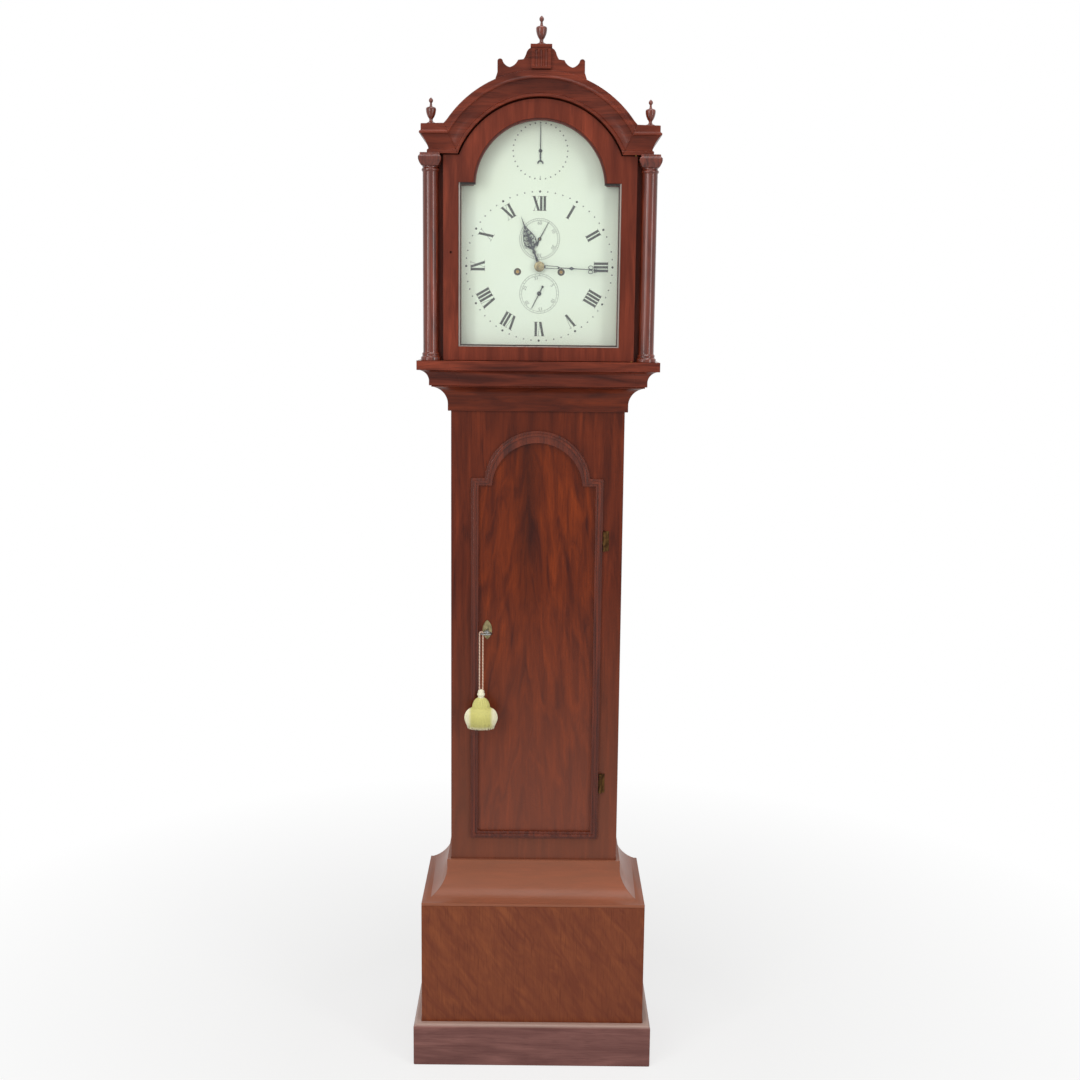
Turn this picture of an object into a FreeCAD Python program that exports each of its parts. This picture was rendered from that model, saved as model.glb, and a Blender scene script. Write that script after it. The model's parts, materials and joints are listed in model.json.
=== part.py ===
import FreeCAD, Part
import math
import os
import Sketcher

# Longcase clock with a break-arch hood, an eight-day weight-driven movement and a seconds pendulum.
# Millimetres. The origin is on the floor under the middle of the case; the front faces -Y, +Z is up.

DRIVING_SIZES = {
    # carcase
    "case_depth": 250,
    "board": 15,
    "front_board": 18,
    "back_board": 12,
    "plinth_height": 90,
    "plinth_board": 16,
    "plinth_chamfer": 5,
    "base_width": 457,
    "base_height": 342,
    "base_floor_level": 60,
    "base_floor_board": 12,
    "base_cove_height": 80,
    "cove_fillet_height": 13,
    "cove_fillet_reach": 8,
    "cove_radius": 60,
    "trunk_width": 342,
    "trunk_height": 1349,
    "throat_height": 51,
    "throat_reach": 36,
    "throat_fillet_height": 15,
    "throat_fillet_reach": 6,
    "throat_radius": 36,
    # trunk door
    "door_width": 262,
    "door_sill": 47,
    "door_head_gap": 38,
    "door_arch_rise": 94,
    "door_arch_half": 104,
    "door_moulding_width": 15,
    "door_moulding_rise": 9,
    "door_lap": 8,
    "door_gap": 1.5,
    "door_board": 16,
    "hinge_length": 40,
    "hinge_knuckle_radius": 3.5,
    "hinge_pin_radius": 1.6,
    "hinge_leaf": 1.5,
    "hinge_leaf_width": 9,
    "lower_hinge_rise": 119,
    "upper_hinge_drop": 125,
    "lock_rise": 440,
    "lock_inset": 33,
    "escutcheon_length": 40,
    "escutcheon_width": 19,
    "escutcheon_board": 2,
    "key_shank_radius": 2.5,
    "key_bow_radius": 10.5,
    "key_bow_wire": 1.6,
    "key_reach": 26,
    "tassel_cord_radius": 1.4,
    "tassel_cord_drop": 115,
    "tassel_neck_radius": 8,
    "tassel_head_radius": 18,
    "tassel_skirt_radius": 34,
    "tassel_depth_share": 0.5,
    "tassel_head_height": 30,
    "tassel_skirt_height": 50,
    # hood
    "hood_base_height": 48,
    "hood_base_reach": 62,
    "hood_sill_reach": 40,
    "hood_sill_height": 10,
    "hood_cove_radius": 22,
    "hood_band_height": 18,
    "hood_inner_gap": 10,
    "hood_body_width": 410,
    "hood_door_setback": 20.5,
    "hood_door_board": 20,
    "hood_door_width": 366,
    "hood_door_gap": 1,
    "mask_board": 10,
    "mask_gap": 2,
    "column_inset": 26,
    "column_gap": 0.5,
    "column_radius": 14.5,
    "column_ring_radius": 19,
    "column_base_height": 16,
    "column_cap_height": 34,
    "capital_half": 21.5,
    "capital_height": 24,
    "column_height": 386,
    "cornice_height": 52,
    "cornice_foot_reach": 8,
    "cornice_reach": 21.5,
    "cornice_cap_reach": 18.5,
    "cornice_cap_height": 12,
    "cornice_hollow_radius": 60,
    "arch_drop": 64,
    "arch_door_radius": 165,
    "arch_cornice_radius": 168,
    "arch_cornice_width": 46,
    "roof_board": 8,
    "side_finial_height": 48,
    "side_finial_radius": 11,
    "centre_finial_height": 52,
    "centre_finial_radius": 9,
    "cresting_half": 85,
    "cresting_board": 14,
    "cresting_rise": 19,
    "crest_block_half": 20,
    "crest_block_rise": 25,
    "crest_block_board": 7,
    # hood door opening and dial
    "opening_half": 154,
    "opening_sill": 27,
    "opening_shoulder_drop": 52,
    "opening_arch_radius": 126,
    "opening_arch_rise": 4,
    "bead_width": 4,
    "bead_board": 6,
    "glass_board": 3,
    "hood_keyhole_rise": 24,
    "hood_keyhole_radius": 2.2,
    "dial_rise": 153,
    "dial_width": 305,
    "dial_board": 2,
    "dial_gap": 2,
    "dial_arch_radius": 131,
    "winding_hole_radius": 6.25,
    "barrel_offset": 42,
    "barrel_drop": 10,
    "seconds_rise": 52,
    "date_drop": 51,
    "selector_rise": 216,
    # movement frame and wheels
    "motion_space": 32,
    "plate_board": 3,
    "plate_space": 64,
    "plate_half": 64,
    "plate_below": 92,
    "plate_above": 92,
    "pillar_radius": 5,
    "pillar_x": 58,
    "pillar_z": 84,
    "dial_foot_radius": 3,
    "seat_board": 18,
    "barrel_gap": 4,
    "barrel_radius": 25,
    "barrel_length": 36,
    "winding_arbor_radius": 4,
    "winding_square": 5.2,
    "wheel_board": 2.5,
    "escape_module": 1.1,
    "arbor_radius": 1,
    "arbor_clearance": 0.05,
    "third_from_centre": 29.5,
    "third_from_escape": 28,
    "pin_arbor_x": 38,
    "pin_arbor_rise": 27,
    "gathering_arbor_x": 30,
    "gathering_arbor_rise": 54,
    "warning_arbor_x": 40,
    "warning_arbor_rise": 70,
    "fly_arbor_x": 29,
    "fly_arbor_rise": 81,
    "hammer_arbor_x": 46,
    "hammer_arbor_rise": 72,
    "great_wheel_step": 2,
    "pin_wheel_step": 3.2,
    "third_wheel_step": 7,
    "centre_wheel_step": 6,
    "escape_wheel_step": 2.5,
    "gathering_wheel_step": 14,
    "warning_wheel_step": 10,
    "minute_wheel_step": 9,
    "hour_wheel_step": 7,
    "minute_stud_drop": 30,
    "cannon_pipe_radius": 3,
    "hour_pipe_radius": 5,
    "lifting_pin_radius": 0.8,
    "fly_half": 9,
    "fly_length": 26,
    # hands
    "hand_board": 1,
    "minute_hand_stand": 7.5,
    "hour_hand_stand": 4.5,
    "small_hand_stand": 1.8,
    "minute_hand_length": 132,
    "hour_hand_length": 100,
    "seconds_hand_length": 36,
    "date_hand_length": 32,
    "selector_hand_length": 47,
    "small_hub_radius": 3.2,
    "collet_radius": 10,
    "collet_height": 3,
    # pendulum, bell and weights
    "pallet_rise": 27,
    "cock_reach": 26,
    "cock_half": 22,
    "cock_board": 4,
    "crutch_length": 115,
    "pendulum_gap": 7,
    "pendulum_length": 994,
    "pendulum_rod_radius": 3,
    "pendulum_eye_radius": 6,
    "pendulum_stud_radius": 2.5,
    "bob_radius": 62,
    "bob_thickness": 30,
    "rating_nut_radius": 9,
    "rating_nut_height": 7,
    "bell_radius": 46,
    "bell_height": 34,
    "bell_wall": 3,
    "bell_rise": 117,
    "bell_stand_foot": 70,
    "hammer_head_radius": 5,
    "hammer_head_length": 12,
    "pulley_radius": 22.5,
    "pulley_board": 8,
    "pulley_rise": 48,
    "pulley_pin_radius": 2,
    "weight_radius": 26,
    "weight_length": 180,
    "weight_floor_gap": 40,
    "line_radius": 1,
    "line_gap": 0.3,
}

doc = FreeCAD.newDocument("longcase_clock")
sheet = doc.addObject("Spreadsheet::Sheet", "Sizes")


class Size:
    """A length with its value and the sheet expression that gives it."""

    def __init__(self, value, text):
        self.value = value
        self.text = text

    def __add__(self, other):
        other = as_size(other)
        return Size(self.value + other.value, f"({self.text} + {other.text})")

    def __radd__(self, other):
        return as_size(other) + self

    def __sub__(self, other):
        other = as_size(other)
        return Size(self.value - other.value, f"({self.text} - {other.text})")

    def __rsub__(self, other):
        return as_size(other) - self

    def __mul__(self, other):
        other = as_size(other)
        return Size(self.value * other.value, f"({self.text} * {other.text})")

    def __rmul__(self, other):
        return as_size(other) * self

    def __truediv__(self, other):
        other = as_size(other)
        return Size(self.value / other.value, f"({self.text} / {other.text})")

    def __neg__(self):
        return Size(-self.value, f"(0 - {self.text})")


def as_size(value):
    if isinstance(value, Size):
        return value
    return Size(float(value), f"{float(value):.10g}")


def side_of_triangle(long_side, other_side):
    """Third side of a right-angled triangle."""
    long_side = as_size(long_side)
    other_side = as_size(other_side)
    square = long_side * long_side - other_side * other_side
    return Size(math.sqrt(square.value), f"sqrt({square.text})")


class Sheet:
    """Driving sizes by name, kept in the document's sheet."""

    def __init__(self, sizes):
        for row, (name, value) in enumerate(sizes.items(), start=1):
            sheet.set(f"A{row}", name)
            sheet.set(f"B{row}", str(value))
            sheet.setAlias(f"B{row}", name)
            setattr(self, name, Size(float(value), f"Sizes.{name}"))


size = Sheet(DRIVING_SIZES)
doc.recompute()

nodes = {}
made = {"count": 0}


def new_object(kind, label):
    """Add a document object; helper pieces get a numbered name."""
    made["count"] += 1
    thing = doc.addObject(kind, f"piece{made['count']}")
    thing.Label = label or f"helper{made['count']}"
    return thing


def node(label, thing):
    thing.Label = label
    nodes[label] = thing
    return thing


def place(thing, x=0, y=0, z=0):
    for axis, value in (("x", x), ("y", y), ("z", z)):
        thing.setExpression(f"Placement.Base.{axis}", as_size(value).text)
    return thing


def box(x, y, z):
    """Board between the low and high values on each axis."""
    board = new_object("Part::Box", None)
    for prop, span in (("Length", x), ("Width", y), ("Height", z)):
        board.setExpression(prop, (as_size(span[1]) - span[0]).text)
    return place(board, x[0], y[0], z[0])


def rod(x, y, z, radius):
    """Round bar along Y between the two values of y."""
    bar = new_object("Part::Cylinder", None)
    bar.setExpression("Radius", as_size(radius).text)
    bar.setExpression("Height", (as_size(y[1]) - y[0]).text)
    bar.Placement.Rotation = FreeCAD.Rotation(FreeCAD.Vector(1, 0, 0), -90)
    return place(bar, x, y[0], z)


def post(x, y, z, radius):
    """Round bar along Z between the two values of z."""
    bar = new_object("Part::Cylinder", None)
    bar.setExpression("Radius", as_size(radius).text)
    bar.setExpression("Height", (as_size(z[1]) - z[0]).text)
    return place(bar, x, y, z[0])


def group(things):
    bundle = new_object("Part::Compound", None)
    bundle.Links = list(things)
    return bundle


def cut(base, cutters):
    result = new_object("Part::Cut", None)
    result.Base = base
    result.Tool = cutters[0] if len(cutters) == 1 else group(cutters)
    return result


def fuse(things):
    result = new_object("Part::MultiFuse", None)
    result.Shapes = list(things)
    return result


def mirrored(thing):
    """Copy of a piece on the other side of the clock's middle plane."""
    twin = new_object("Part::Mirroring", None)
    twin.Source = thing
    twin.Normal = FreeCAD.Vector(1, 0, 0)
    return twin


def origin_plane(body, role):
    return [item for item in body.Origin.OriginFeatures if item.Role == role][0]


def arc_between(start, end, radius, left):
    """Arc from start to end that turns left or right on its way."""
    (ax, ay), (bx, by) = start, end
    span = math.hypot(bx - ax, by - ay)
    rise = math.sqrt(max(radius * radius - span * span / 4, 0))
    side = 1 if left else -1
    cx = (ax + bx) / 2 - side * rise * (by - ay) / span
    cy = (ay + by) / 2 + side * rise * (bx - ax) / span
    first = math.atan2(ay - cy, ax - cx)
    last = math.atan2(by - cy, bx - cx)
    circle = Part.Circle(FreeCAD.Vector(cx, cy, 0), FreeCAD.Vector(0, 0, 1), radius)
    if left:
        return Part.ArcOfCircle(circle, first, last)
    return Part.ArcOfCircle(circle, last, first)


def fix_point(sketch, curve, end, point):
    """Hold a curve's end at a sheet position measured from the sketch's origin."""
    for kind, value in zip(("DistanceX", "DistanceY"), point):
        rule = sketch.addConstraint(Sketcher.Constraint(kind, -1, 1, curve, end, value.value))
        sketch.setExpression(f"Constraints[{rule}]", value.text)


def sketch_line(body, plane, points, closed=True):
    """Outline in a body's plane. A point is (x, y) or, at the end of an arc, (x, y, radius):
    a positive radius turns left on the way there and a negative one turns right."""
    made["count"] += 1
    sketch = body.newObject("Sketcher::SketchObject", f"outline{made['count']}")
    sketch.AttachmentSupport = [(origin_plane(body, plane), "")]
    sketch.MapMode = "FlatFace"
    points = [tuple(as_size(value) for value in point) for point in points]
    starts = points if closed else points[:-1]
    ends = points[1:] + points[:1] if closed else points[1:]
    tails = []
    for start, end in zip(starts, ends):
        a = (start[0].value, start[1].value)
        b = (end[0].value, end[1].value)
        if len(end) == 2:
            line = Part.LineSegment(FreeCAD.Vector(*a), FreeCAD.Vector(*b))
            curve = sketch.addGeometry(line, False)
            tails.append((curve, 1, 2))
        else:
            left = end[2].value > 0
            curve = sketch.addGeometry(arc_between(a, b, abs(end[2].value), left), False)
            tails.append((curve, 1, 2) if left else (curve, 2, 1))
            radius = end[2] if left else -end[2]
            rule = sketch.addConstraint(Sketcher.Constraint("Radius", curve, radius.value))
            sketch.setExpression(f"Constraints[{rule}]", radius.text)
    followers = tails[1:] + tails[:1] if closed else tails[1:]
    for (curve, _, tail), (follower, head, _) in zip(tails, followers):
        sketch.addConstraint(Sketcher.Constraint("Coincident", curve, tail, follower, head))
    for (curve, head, _), start in zip(tails, starts):
        fix_point(sketch, curve, head, start[:2])
    if not closed:
        fix_point(sketch, tails[-1][0], tails[-1][2], ends[-1][:2])
    return sketch


def flat_piece(outline, back, thickness):
    """Board with an outline in X and Z whose back face is at y = back."""
    body = new_object("PartDesign::Body", None)
    pad = body.newObject("PartDesign::Pad", f"pad{made['count']}")
    pad.Profile = sketch_line(body, "XZ_Plane", outline)
    pad.setExpression("Length", as_size(thickness).text)
    return place(body, 0, back, 0)


def turned_piece(outline, x, y, z):
    """Turning about a vertical line; the outline's points are (radius, height)."""
    body = new_object("PartDesign::Body", None)
    sketch = sketch_line(body, "XZ_Plane", outline)
    turn = body.newObject("PartDesign::Revolution", f"turn{made['count']}")
    turn.Profile = sketch
    turn.ReferenceAxis = (sketch, ["V_Axis"])
    turn.Angle = 360
    return place(body, x, y, z)


def turned_across(outline, x, y, z):
    """Turning about a line along Y; the outline's points are (y, radius)."""
    body = new_object("PartDesign::Body", None)
    sketch = sketch_line(body, "YZ_Plane", outline)
    turn = body.newObject("PartDesign::Revolution", f"turn{made['count']}")
    turn.Profile = sketch
    turn.ReferenceAxis = (sketch, ["H_Axis"])
    turn.Angle = 360
    return place(body, x, y, z)


def three_sided_moulding(half, front, back, level, profile):
    """Mitred moulding round the left, the front and the right; profile points are (reach, height)."""
    body = new_object("PartDesign::Body", None)
    depth = as_size(back) - front
    path = [(-half, 0), (-half, -depth), (half, -depth), (half, 0)]
    section = []
    for reach, height, *bend in profile:
        section.append((-half - reach, height, *bend))
    pipe = body.newObject("PartDesign::AdditivePipe", f"pipe{made['count']}")
    spine = sketch_line(body, "XY_Plane", path, closed=False)
    pipe.Profile = sketch_line(body, "XZ_Plane", section)
    pipe.Spine = spine
    pipe.Transition = "Right corner"
    return place(body, 0, back, level)


# levels and planes that several pieces share
back_face = (size.case_depth + size.plinth_board) / 2
base_front = back_face - size.case_depth
base_half = size.base_width / 2
trunk_half = size.trunk_width / 2
base_overhang = base_half - trunk_half
trunk_front = base_front + base_overhang
back_inside = back_face - size.back_board
throat_top = size.trunk_height + size.throat_height
hood_floor = throat_top + size.hood_base_height
cornice_level = hood_floor + size.column_height
arch_level = cornice_level - size.arch_drop
arch_top = arch_level + size.arch_cornice_radius + size.arch_cornice_width
cresting_top = arch_top + size.cresting_rise
crest_block_top = cresting_top + size.crest_block_rise
opening_bottom = hood_floor + size.opening_sill
opening_shoulder = cornice_level - size.opening_shoulder_drop
opening_arch_level = arch_level + size.opening_arch_rise
dial_z = opening_bottom + size.dial_rise
bell_level = dial_z + size.bell_rise
door_bottom = size.base_height + size.base_cove_height + size.door_sill
door_top = size.trunk_height - size.door_head_gap
door_shoulder = door_top - size.door_arch_rise
lower_hinge_level = door_bottom + size.lower_hinge_rise
upper_hinge_level = door_shoulder - size.upper_hinge_drop
lock_level = door_bottom + size.lock_rise
hood_front = trunk_front - size.hood_base_reach
hood_half = size.hood_body_width / 2
hood_rim = trunk_half + size.hood_base_reach
hood_back = back_face - 2
door_front = hood_front + size.hood_door_setback
door_back = door_front + size.hood_door_board
mask_front = door_back + size.mask_gap
mask_back = mask_front + size.mask_board
dial_front = mask_back + size.dial_gap
dial_back = dial_front + size.dial_board
front_plate = dial_back + size.motion_space
front_plate_back = front_plate + size.plate_board
back_plate = front_plate_back + size.plate_space
back_plate_back = back_plate + size.plate_board
seat_top = dial_z - size.plate_below
seat_under = seat_top - size.seat_board
roof_under = cornice_level + size.cornice_height - size.roof_board
column_x = hood_rim - size.column_inset
column_y = mask_front - size.capital_half - size.column_gap
lock_x = size.lock_inset - size.door_width / 2
roof_radius = size.arch_cornice_radius + size.arch_cornice_width - 2
arch_under_roof = roof_radius - size.roof_board
hinge_x = size.door_width / 2 + size.hinge_knuckle_radius + 0.5
hinge_y = trunk_front - size.hinge_knuckle_radius - 0.3
pivot_x = size.hood_door_width / 2 - 3
pivot_y = door_front + 3
pivot_radius = 2
floor_top = size.base_floor_level + size.base_floor_board
barrel_front = front_plate_back + size.barrel_gap
barrel_mid = barrel_front + size.barrel_length / 2
drop_line_x = size.barrel_offset + size.barrel_radius


def arched_outline(half, bottom, shoulder, radius, level, inset=0):
    """Break-arch outline: upright sides, level shoulders and a round head; inset draws it in evenly."""
    half = as_size(half) - inset
    foot = as_size(bottom) + inset
    shoulder = as_size(shoulder) - inset
    radius = as_size(radius) - inset
    spring = side_of_triangle(radius, shoulder - level)
    return [(half, foot), (half, shoulder), (spring, shoulder), (-spring, shoulder, radius),
            (-half, shoulder), (-half, foot)]


def through(outline, front, back):
    """Cutter with an outline, reaching past both faces of a board."""
    return flat_piece(outline, as_size(back) + 1, as_size(back) - front + 2)


def make_base():
    reach = size.plinth_board
    edge = size.plinth_chamfer
    height = size.plinth_height
    profile = [(0, 0), (reach, 0), (reach, height - edge), (reach - edge, height), (0, height)]
    node("plinth", three_sided_moulding(base_half, base_front, back_face, 0, profile))
    behind_panel = base_front + size.front_board
    front = box((-base_half, base_half), (base_front, behind_panel), (0, size.base_height))
    side = box((base_half - size.board, base_half), (behind_panel, back_inside), (0, size.base_height))
    node("base_panels", group([front, side, mirrored(side)]))
    inside = base_half - size.board
    bottom = box((-inside, inside), (behind_panel, back_inside), (size.base_floor_level, floor_top))
    behind_frame = trunk_front + size.front_board
    seat = box((-trunk_half, trunk_half), (behind_frame, back_inside), (seat_under, seat_top))
    beyond = (seat_under - 1, seat_top + 1)
    slots = [box((-20, 20), (pendulum_y - 15, pendulum_y + 15), beyond)]
    for line_x in (drop_line_x, -drop_line_x):
        slots.append(box((line_x - 6, line_x + 6), (barrel_mid - 15, barrel_mid + 15), beyond))
    node("inner_boards", group([bottom, cut(seat, slots)]))
    lip = 6
    fillet = size.cove_fillet_reach
    height = size.base_cove_height
    cove_top = height - size.cove_fillet_height
    cove = [(0, 0), (base_overhang, 0), (base_overhang, lip), (base_overhang - lip, lip),
            (fillet, cove_top, size.cove_radius), (fillet, height), (0, height)]
    lower = three_sided_moulding(trunk_half, trunk_front, back_face, size.base_height, cove)
    fillet = size.throat_fillet_reach
    rise = size.throat_fillet_height
    lip = 3
    throat = [(0, 0), (fillet, 0), (fillet, rise),
              (size.throat_reach - lip, size.throat_height - lip, size.throat_radius),
              (size.throat_reach, size.throat_height - lip), (size.throat_reach, size.throat_height),
              (0, size.throat_height)]
    upper = three_sided_moulding(trunk_half, trunk_front, back_face, size.trunk_height, throat)
    node("case_mouldings", group([lower, upper]))


def make_backboard():
    ear = hood_half - size.board - 2
    ear_level = hood_floor + 4
    shoulder = roof_under - 2
    radius = arch_under_roof - 3
    spring = side_of_triangle(radius, shoulder - arch_level)
    outline = [(-base_half, 0), (base_half, 0), (base_half, size.base_height), (trunk_half, size.base_height),
               (trunk_half, ear_level), (ear, ear_level), (ear, shoulder), (spring, shoulder),
               (-spring, shoulder, radius), (-ear, shoulder), (-ear, ear_level), (-trunk_half, ear_level),
               (-trunk_half, size.base_height), (-base_half, size.base_height)]
    node("backboard", flat_piece(outline, back_face, size.back_board))


def trunk_door_outline(inset=0):
    rise = door_top - door_shoulder
    radius = (size.door_arch_half * size.door_arch_half + rise * rise) / (2 * rise)
    return arched_outline(size.door_width / 2, door_bottom, door_shoulder, radius,
                          door_top - radius, inset)


def make_trunk():
    behind_frame = trunk_front + size.front_board
    side = box((trunk_half - size.board, trunk_half), (behind_frame, back_inside), (floor_top, seat_under))
    node("trunk_sides", group([side, mirrored(side)]))
    frame = box((-trunk_half, trunk_half), (trunk_front, behind_frame), (size.base_height, throat_top))
    doorway = through(trunk_door_outline(size.door_lap), trunk_front, behind_frame)
    node("trunk_front_frame", cut(frame, [doorway]))


def make_trunk_door():
    bore = size.key_shank_radius + size.arbor_clearance
    door_inside = trunk_front + size.door_board
    panel = flat_piece(trunk_door_outline(size.door_lap + size.door_gap), door_inside, size.door_board)
    keyway = rod(lock_x, (trunk_front - 1, door_inside + 1), lock_level, bore)
    node("trunk_door", cut(panel, [keyway]))
    step = size.door_moulding_width / 3
    layers = []
    for index, rise in enumerate((0.55, 1, 0.7)):
        ring = flat_piece(trunk_door_outline(step * index), trunk_front, size.door_moulding_rise * rise)
        inner = trunk_door_outline(step * (index + 1))
        hole = through(inner, trunk_front - size.door_moulding_rise, trunk_front)
        layers.append(cut(ring, [hole]))
    node("trunk_door_moulding", fuse(layers))
    half_wide = size.escutcheon_width / 2
    half_tall = size.escutcheon_length / 2
    bow = half_tall * 1.3
    lozenge = [(lock_x - half_wide, lock_level, bow), (lock_x, lock_level - half_tall, bow),
               (lock_x + half_wide, lock_level, bow), (lock_x, lock_level + half_tall, bow)]
    plate = flat_piece(lozenge, trunk_front, size.escutcheon_board)
    keyhole = rod(lock_x, (trunk_front - size.escutcheon_board - 1, trunk_front + 1), lock_level, bore)
    case = box((lock_x - 16, lock_x + 30), (door_inside, door_inside + 12),
               (lock_level - 28, lock_level + 28))
    node("trunk_lock", group([cut(plate, [keyhole]), case]))


def make_trunk_hinges():
    third = size.hinge_length / 3
    gap = 0.2
    case_leaves = []
    door_leaves = []
    for level in (lower_hinge_level, upper_hinge_level):
        low = level - size.hinge_length / 2
        high = level + size.hinge_length / 2
        knuckle_low = post(hinge_x, hinge_y, (low, low + third), size.hinge_knuckle_radius)
        knuckle_high = post(hinge_x, hinge_y, (high - third, high), size.hinge_knuckle_radius)
        pin = post(hinge_x, hinge_y, (low, high), size.hinge_pin_radius)
        leaf = box((hinge_x, hinge_x + size.hinge_leaf_width), (trunk_front - size.hinge_leaf, trunk_front),
                   (low, high))
        slot = post(hinge_x, hinge_y, (low + third, high - third), size.hinge_knuckle_radius + gap)
        case_leaves.append(fuse([cut(leaf, [slot]), knuckle_low, knuckle_high, pin]))
        middle = (low + third + gap, high - third - gap)
        barrel = post(hinge_x, hinge_y, middle, size.hinge_knuckle_radius)
        door_face = size.door_width / 2
        wing = box((door_face, door_face + size.hinge_leaf),
                   (trunk_front - size.door_moulding_rise * 0.55, trunk_front - gap), middle)
        bore = post(hinge_x, hinge_y, (low, high), size.hinge_pin_radius + size.arbor_clearance)
        door_leaves.append(cut(fuse([barrel, wing]), [bore]))
    node("trunk_hinge_case_leaves", group(case_leaves))
    node("trunk_hinge_door_leaves", group(door_leaves))


def round_cord(path, radius, x, y, z):
    """Tube along a path in X and Z that starts at (x, y, z) and leaves it straight up."""
    body = new_object("PartDesign::Body", None)
    pipe = body.newObject("PartDesign::AdditivePipe", f"pipe{made['count']}")
    spine = sketch_line(body, "XZ_Plane", path, closed=False)
    ring = body.newObject("Sketcher::SketchObject", f"ring{made['count']}")
    ring.AttachmentSupport = [(origin_plane(body, "XY_Plane"), "")]
    ring.MapMode = "FlatFace"
    circle = Part.Circle(FreeCAD.Vector(0, 0, 0), FreeCAD.Vector(0, 0, 1), radius.value)
    ring.addGeometry(circle, False)
    ring.addConstraint(Sketcher.Constraint("Coincident", 0, 3, -1, 1))
    rule = ring.addConstraint(Sketcher.Constraint("Radius", 0, radius.value))
    ring.setExpression(f"Constraints[{rule}]", radius.text)
    pipe.Profile = ring
    pipe.Spine = spine
    return place(body, x, y, z)


def ellipsoid(x, y, z, wide, deep, tall):
    ball = new_object("Part::Ellipsoid", None)
    for prop, value in (("Radius1", tall), ("Radius2", wide), ("Radius3", deep)):
        ball.setExpression(prop, as_size(value).text)
    return place(ball, x, y, z)


def make_key_and_tassel():
    bow_y = trunk_front - size.key_reach - size.key_bow_radius
    shank = rod(lock_x, (trunk_front - size.key_reach - 1, trunk_front + size.door_board - 3),
                lock_level, size.key_shank_radius)
    bow = new_object("Part::Torus", None)
    bow.setExpression("Radius1", size.key_bow_radius.text)
    bow.setExpression("Radius2", size.key_bow_wire.text)
    place(bow, lock_x, bow_y, lock_level)
    collar = rod(lock_x, (trunk_front - size.key_reach + 2, trunk_front - size.key_reach + 6),
                 lock_level, size.key_shank_radius + 1.5)
    node("trunk_key", fuse([shank, bow, collar]))
    limb_x = lock_x - size.key_bow_radius
    loop = size.key_bow_wire + size.tassel_cord_radius + 0.3
    drop = size.tassel_cord_drop
    path = [(0, 0), (0, drop), (loop, drop + loop, -loop), (2 * loop, drop, -loop), (2 * loop, 0)]
    top = lock_level - drop
    node("tassel_cord", round_cord(path, size.tassel_cord_radius, limb_x - loop, bow_y, top))
    neck = ellipsoid(limb_x, bow_y, top - size.tassel_neck_radius, size.tassel_neck_radius,
                     size.tassel_neck_radius, size.tassel_neck_radius)
    head_top = top - size.tassel_neck_radius * 1.6
    head = ellipsoid(limb_x, bow_y, head_top - size.tassel_head_height / 2, size.tassel_head_radius,
                     size.tassel_head_radius * size.tassel_depth_share * 1.5, size.tassel_head_height / 2)
    skirt_mid = head_top - size.tassel_head_height - size.tassel_skirt_height / 2 + 12
    skirt = ellipsoid(limb_x, bow_y, skirt_mid, size.tassel_skirt_radius,
                      size.tassel_skirt_radius * size.tassel_depth_share * 1.4, size.tassel_skirt_height / 2)
    node("tassel", fuse([neck, head, skirt]))


def make_hood_case():
    height = size.hood_base_height
    band = height - size.hood_band_height
    lip = 4
    gap = size.hood_inner_gap
    sill = size.hood_sill_reach
    reach = size.hood_base_reach
    profile = [(gap, 0), (sill, 0), (sill, size.hood_sill_height), (reach - lip, band, size.hood_cove_radius),
               (reach, band), (reach, height), (gap, height)]
    rail = three_sided_moulding(trunk_half, trunk_front, hood_back, throat_top, profile)
    socket = post(pivot_x, pivot_y, (hood_floor - 6.3, hood_floor + 1), pivot_radius + size.arbor_clearance)
    node("hood_base", cut(rail, [socket]))
    side = box((hood_half - size.board, hood_half), (mask_back, hood_back), (hood_floor, roof_under))
    mask_radius = arch_under_roof - 0.5
    spring = side_of_triangle(mask_radius, roof_under - arch_level)
    mask = flat_piece([(-hood_half, hood_floor), (hood_half, hood_floor), (hood_half, roof_under),
                       (spring, roof_under), (-spring, roof_under, mask_radius), (-hood_half, roof_under)],
                      mask_back, size.mask_board)
    window = through(arched_outline(size.opening_half, opening_bottom, opening_shoulder,
                                    size.opening_arch_radius + 4, opening_arch_level, size.bead_width),
                     mask_front, mask_back)
    node("hood_mask", cut(mask, [window]))
    spring_out = side_of_triangle(arch_under_roof, roof_under - arch_level)
    spring_in = side_of_triangle(size.arch_cornice_radius, cornice_level - arch_level)
    tympanum = flat_piece([(hood_half, cornice_level), (hood_half, roof_under), (spring_out, roof_under),
                           (-spring_out, roof_under, arch_under_roof), (-hood_half, roof_under),
                           (-hood_half, cornice_level), (-spring_in, cornice_level),
                           (spring_in, cornice_level, -size.arch_cornice_radius)],
                          mask_front, size.hood_door_board + size.mask_gap)
    socket = post(pivot_x, pivot_y, (cornice_level - 1, cornice_level + 8.3),
                  pivot_radius + size.arbor_clearance)
    node("hood_arch_board", cut(tympanum, [socket]))
    roof_top = roof_under + size.roof_board
    under = arch_under_roof + 0.2
    spring_top = side_of_triangle(roof_radius, roof_top - arch_level)
    spring_low = side_of_triangle(under, roof_under - arch_level)
    roof = flat_piece([(hood_half, roof_under), (hood_half, roof_top), (spring_top, roof_top),
                       (-spring_top, roof_top, roof_radius), (-hood_half, roof_top), (-hood_half, roof_under),
                       (-spring_low, roof_under), (spring_low, roof_under, -under)],
                      hood_back, hood_back - door_front)
    node("hood_case", group([side, mirrored(side), roof]))


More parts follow.
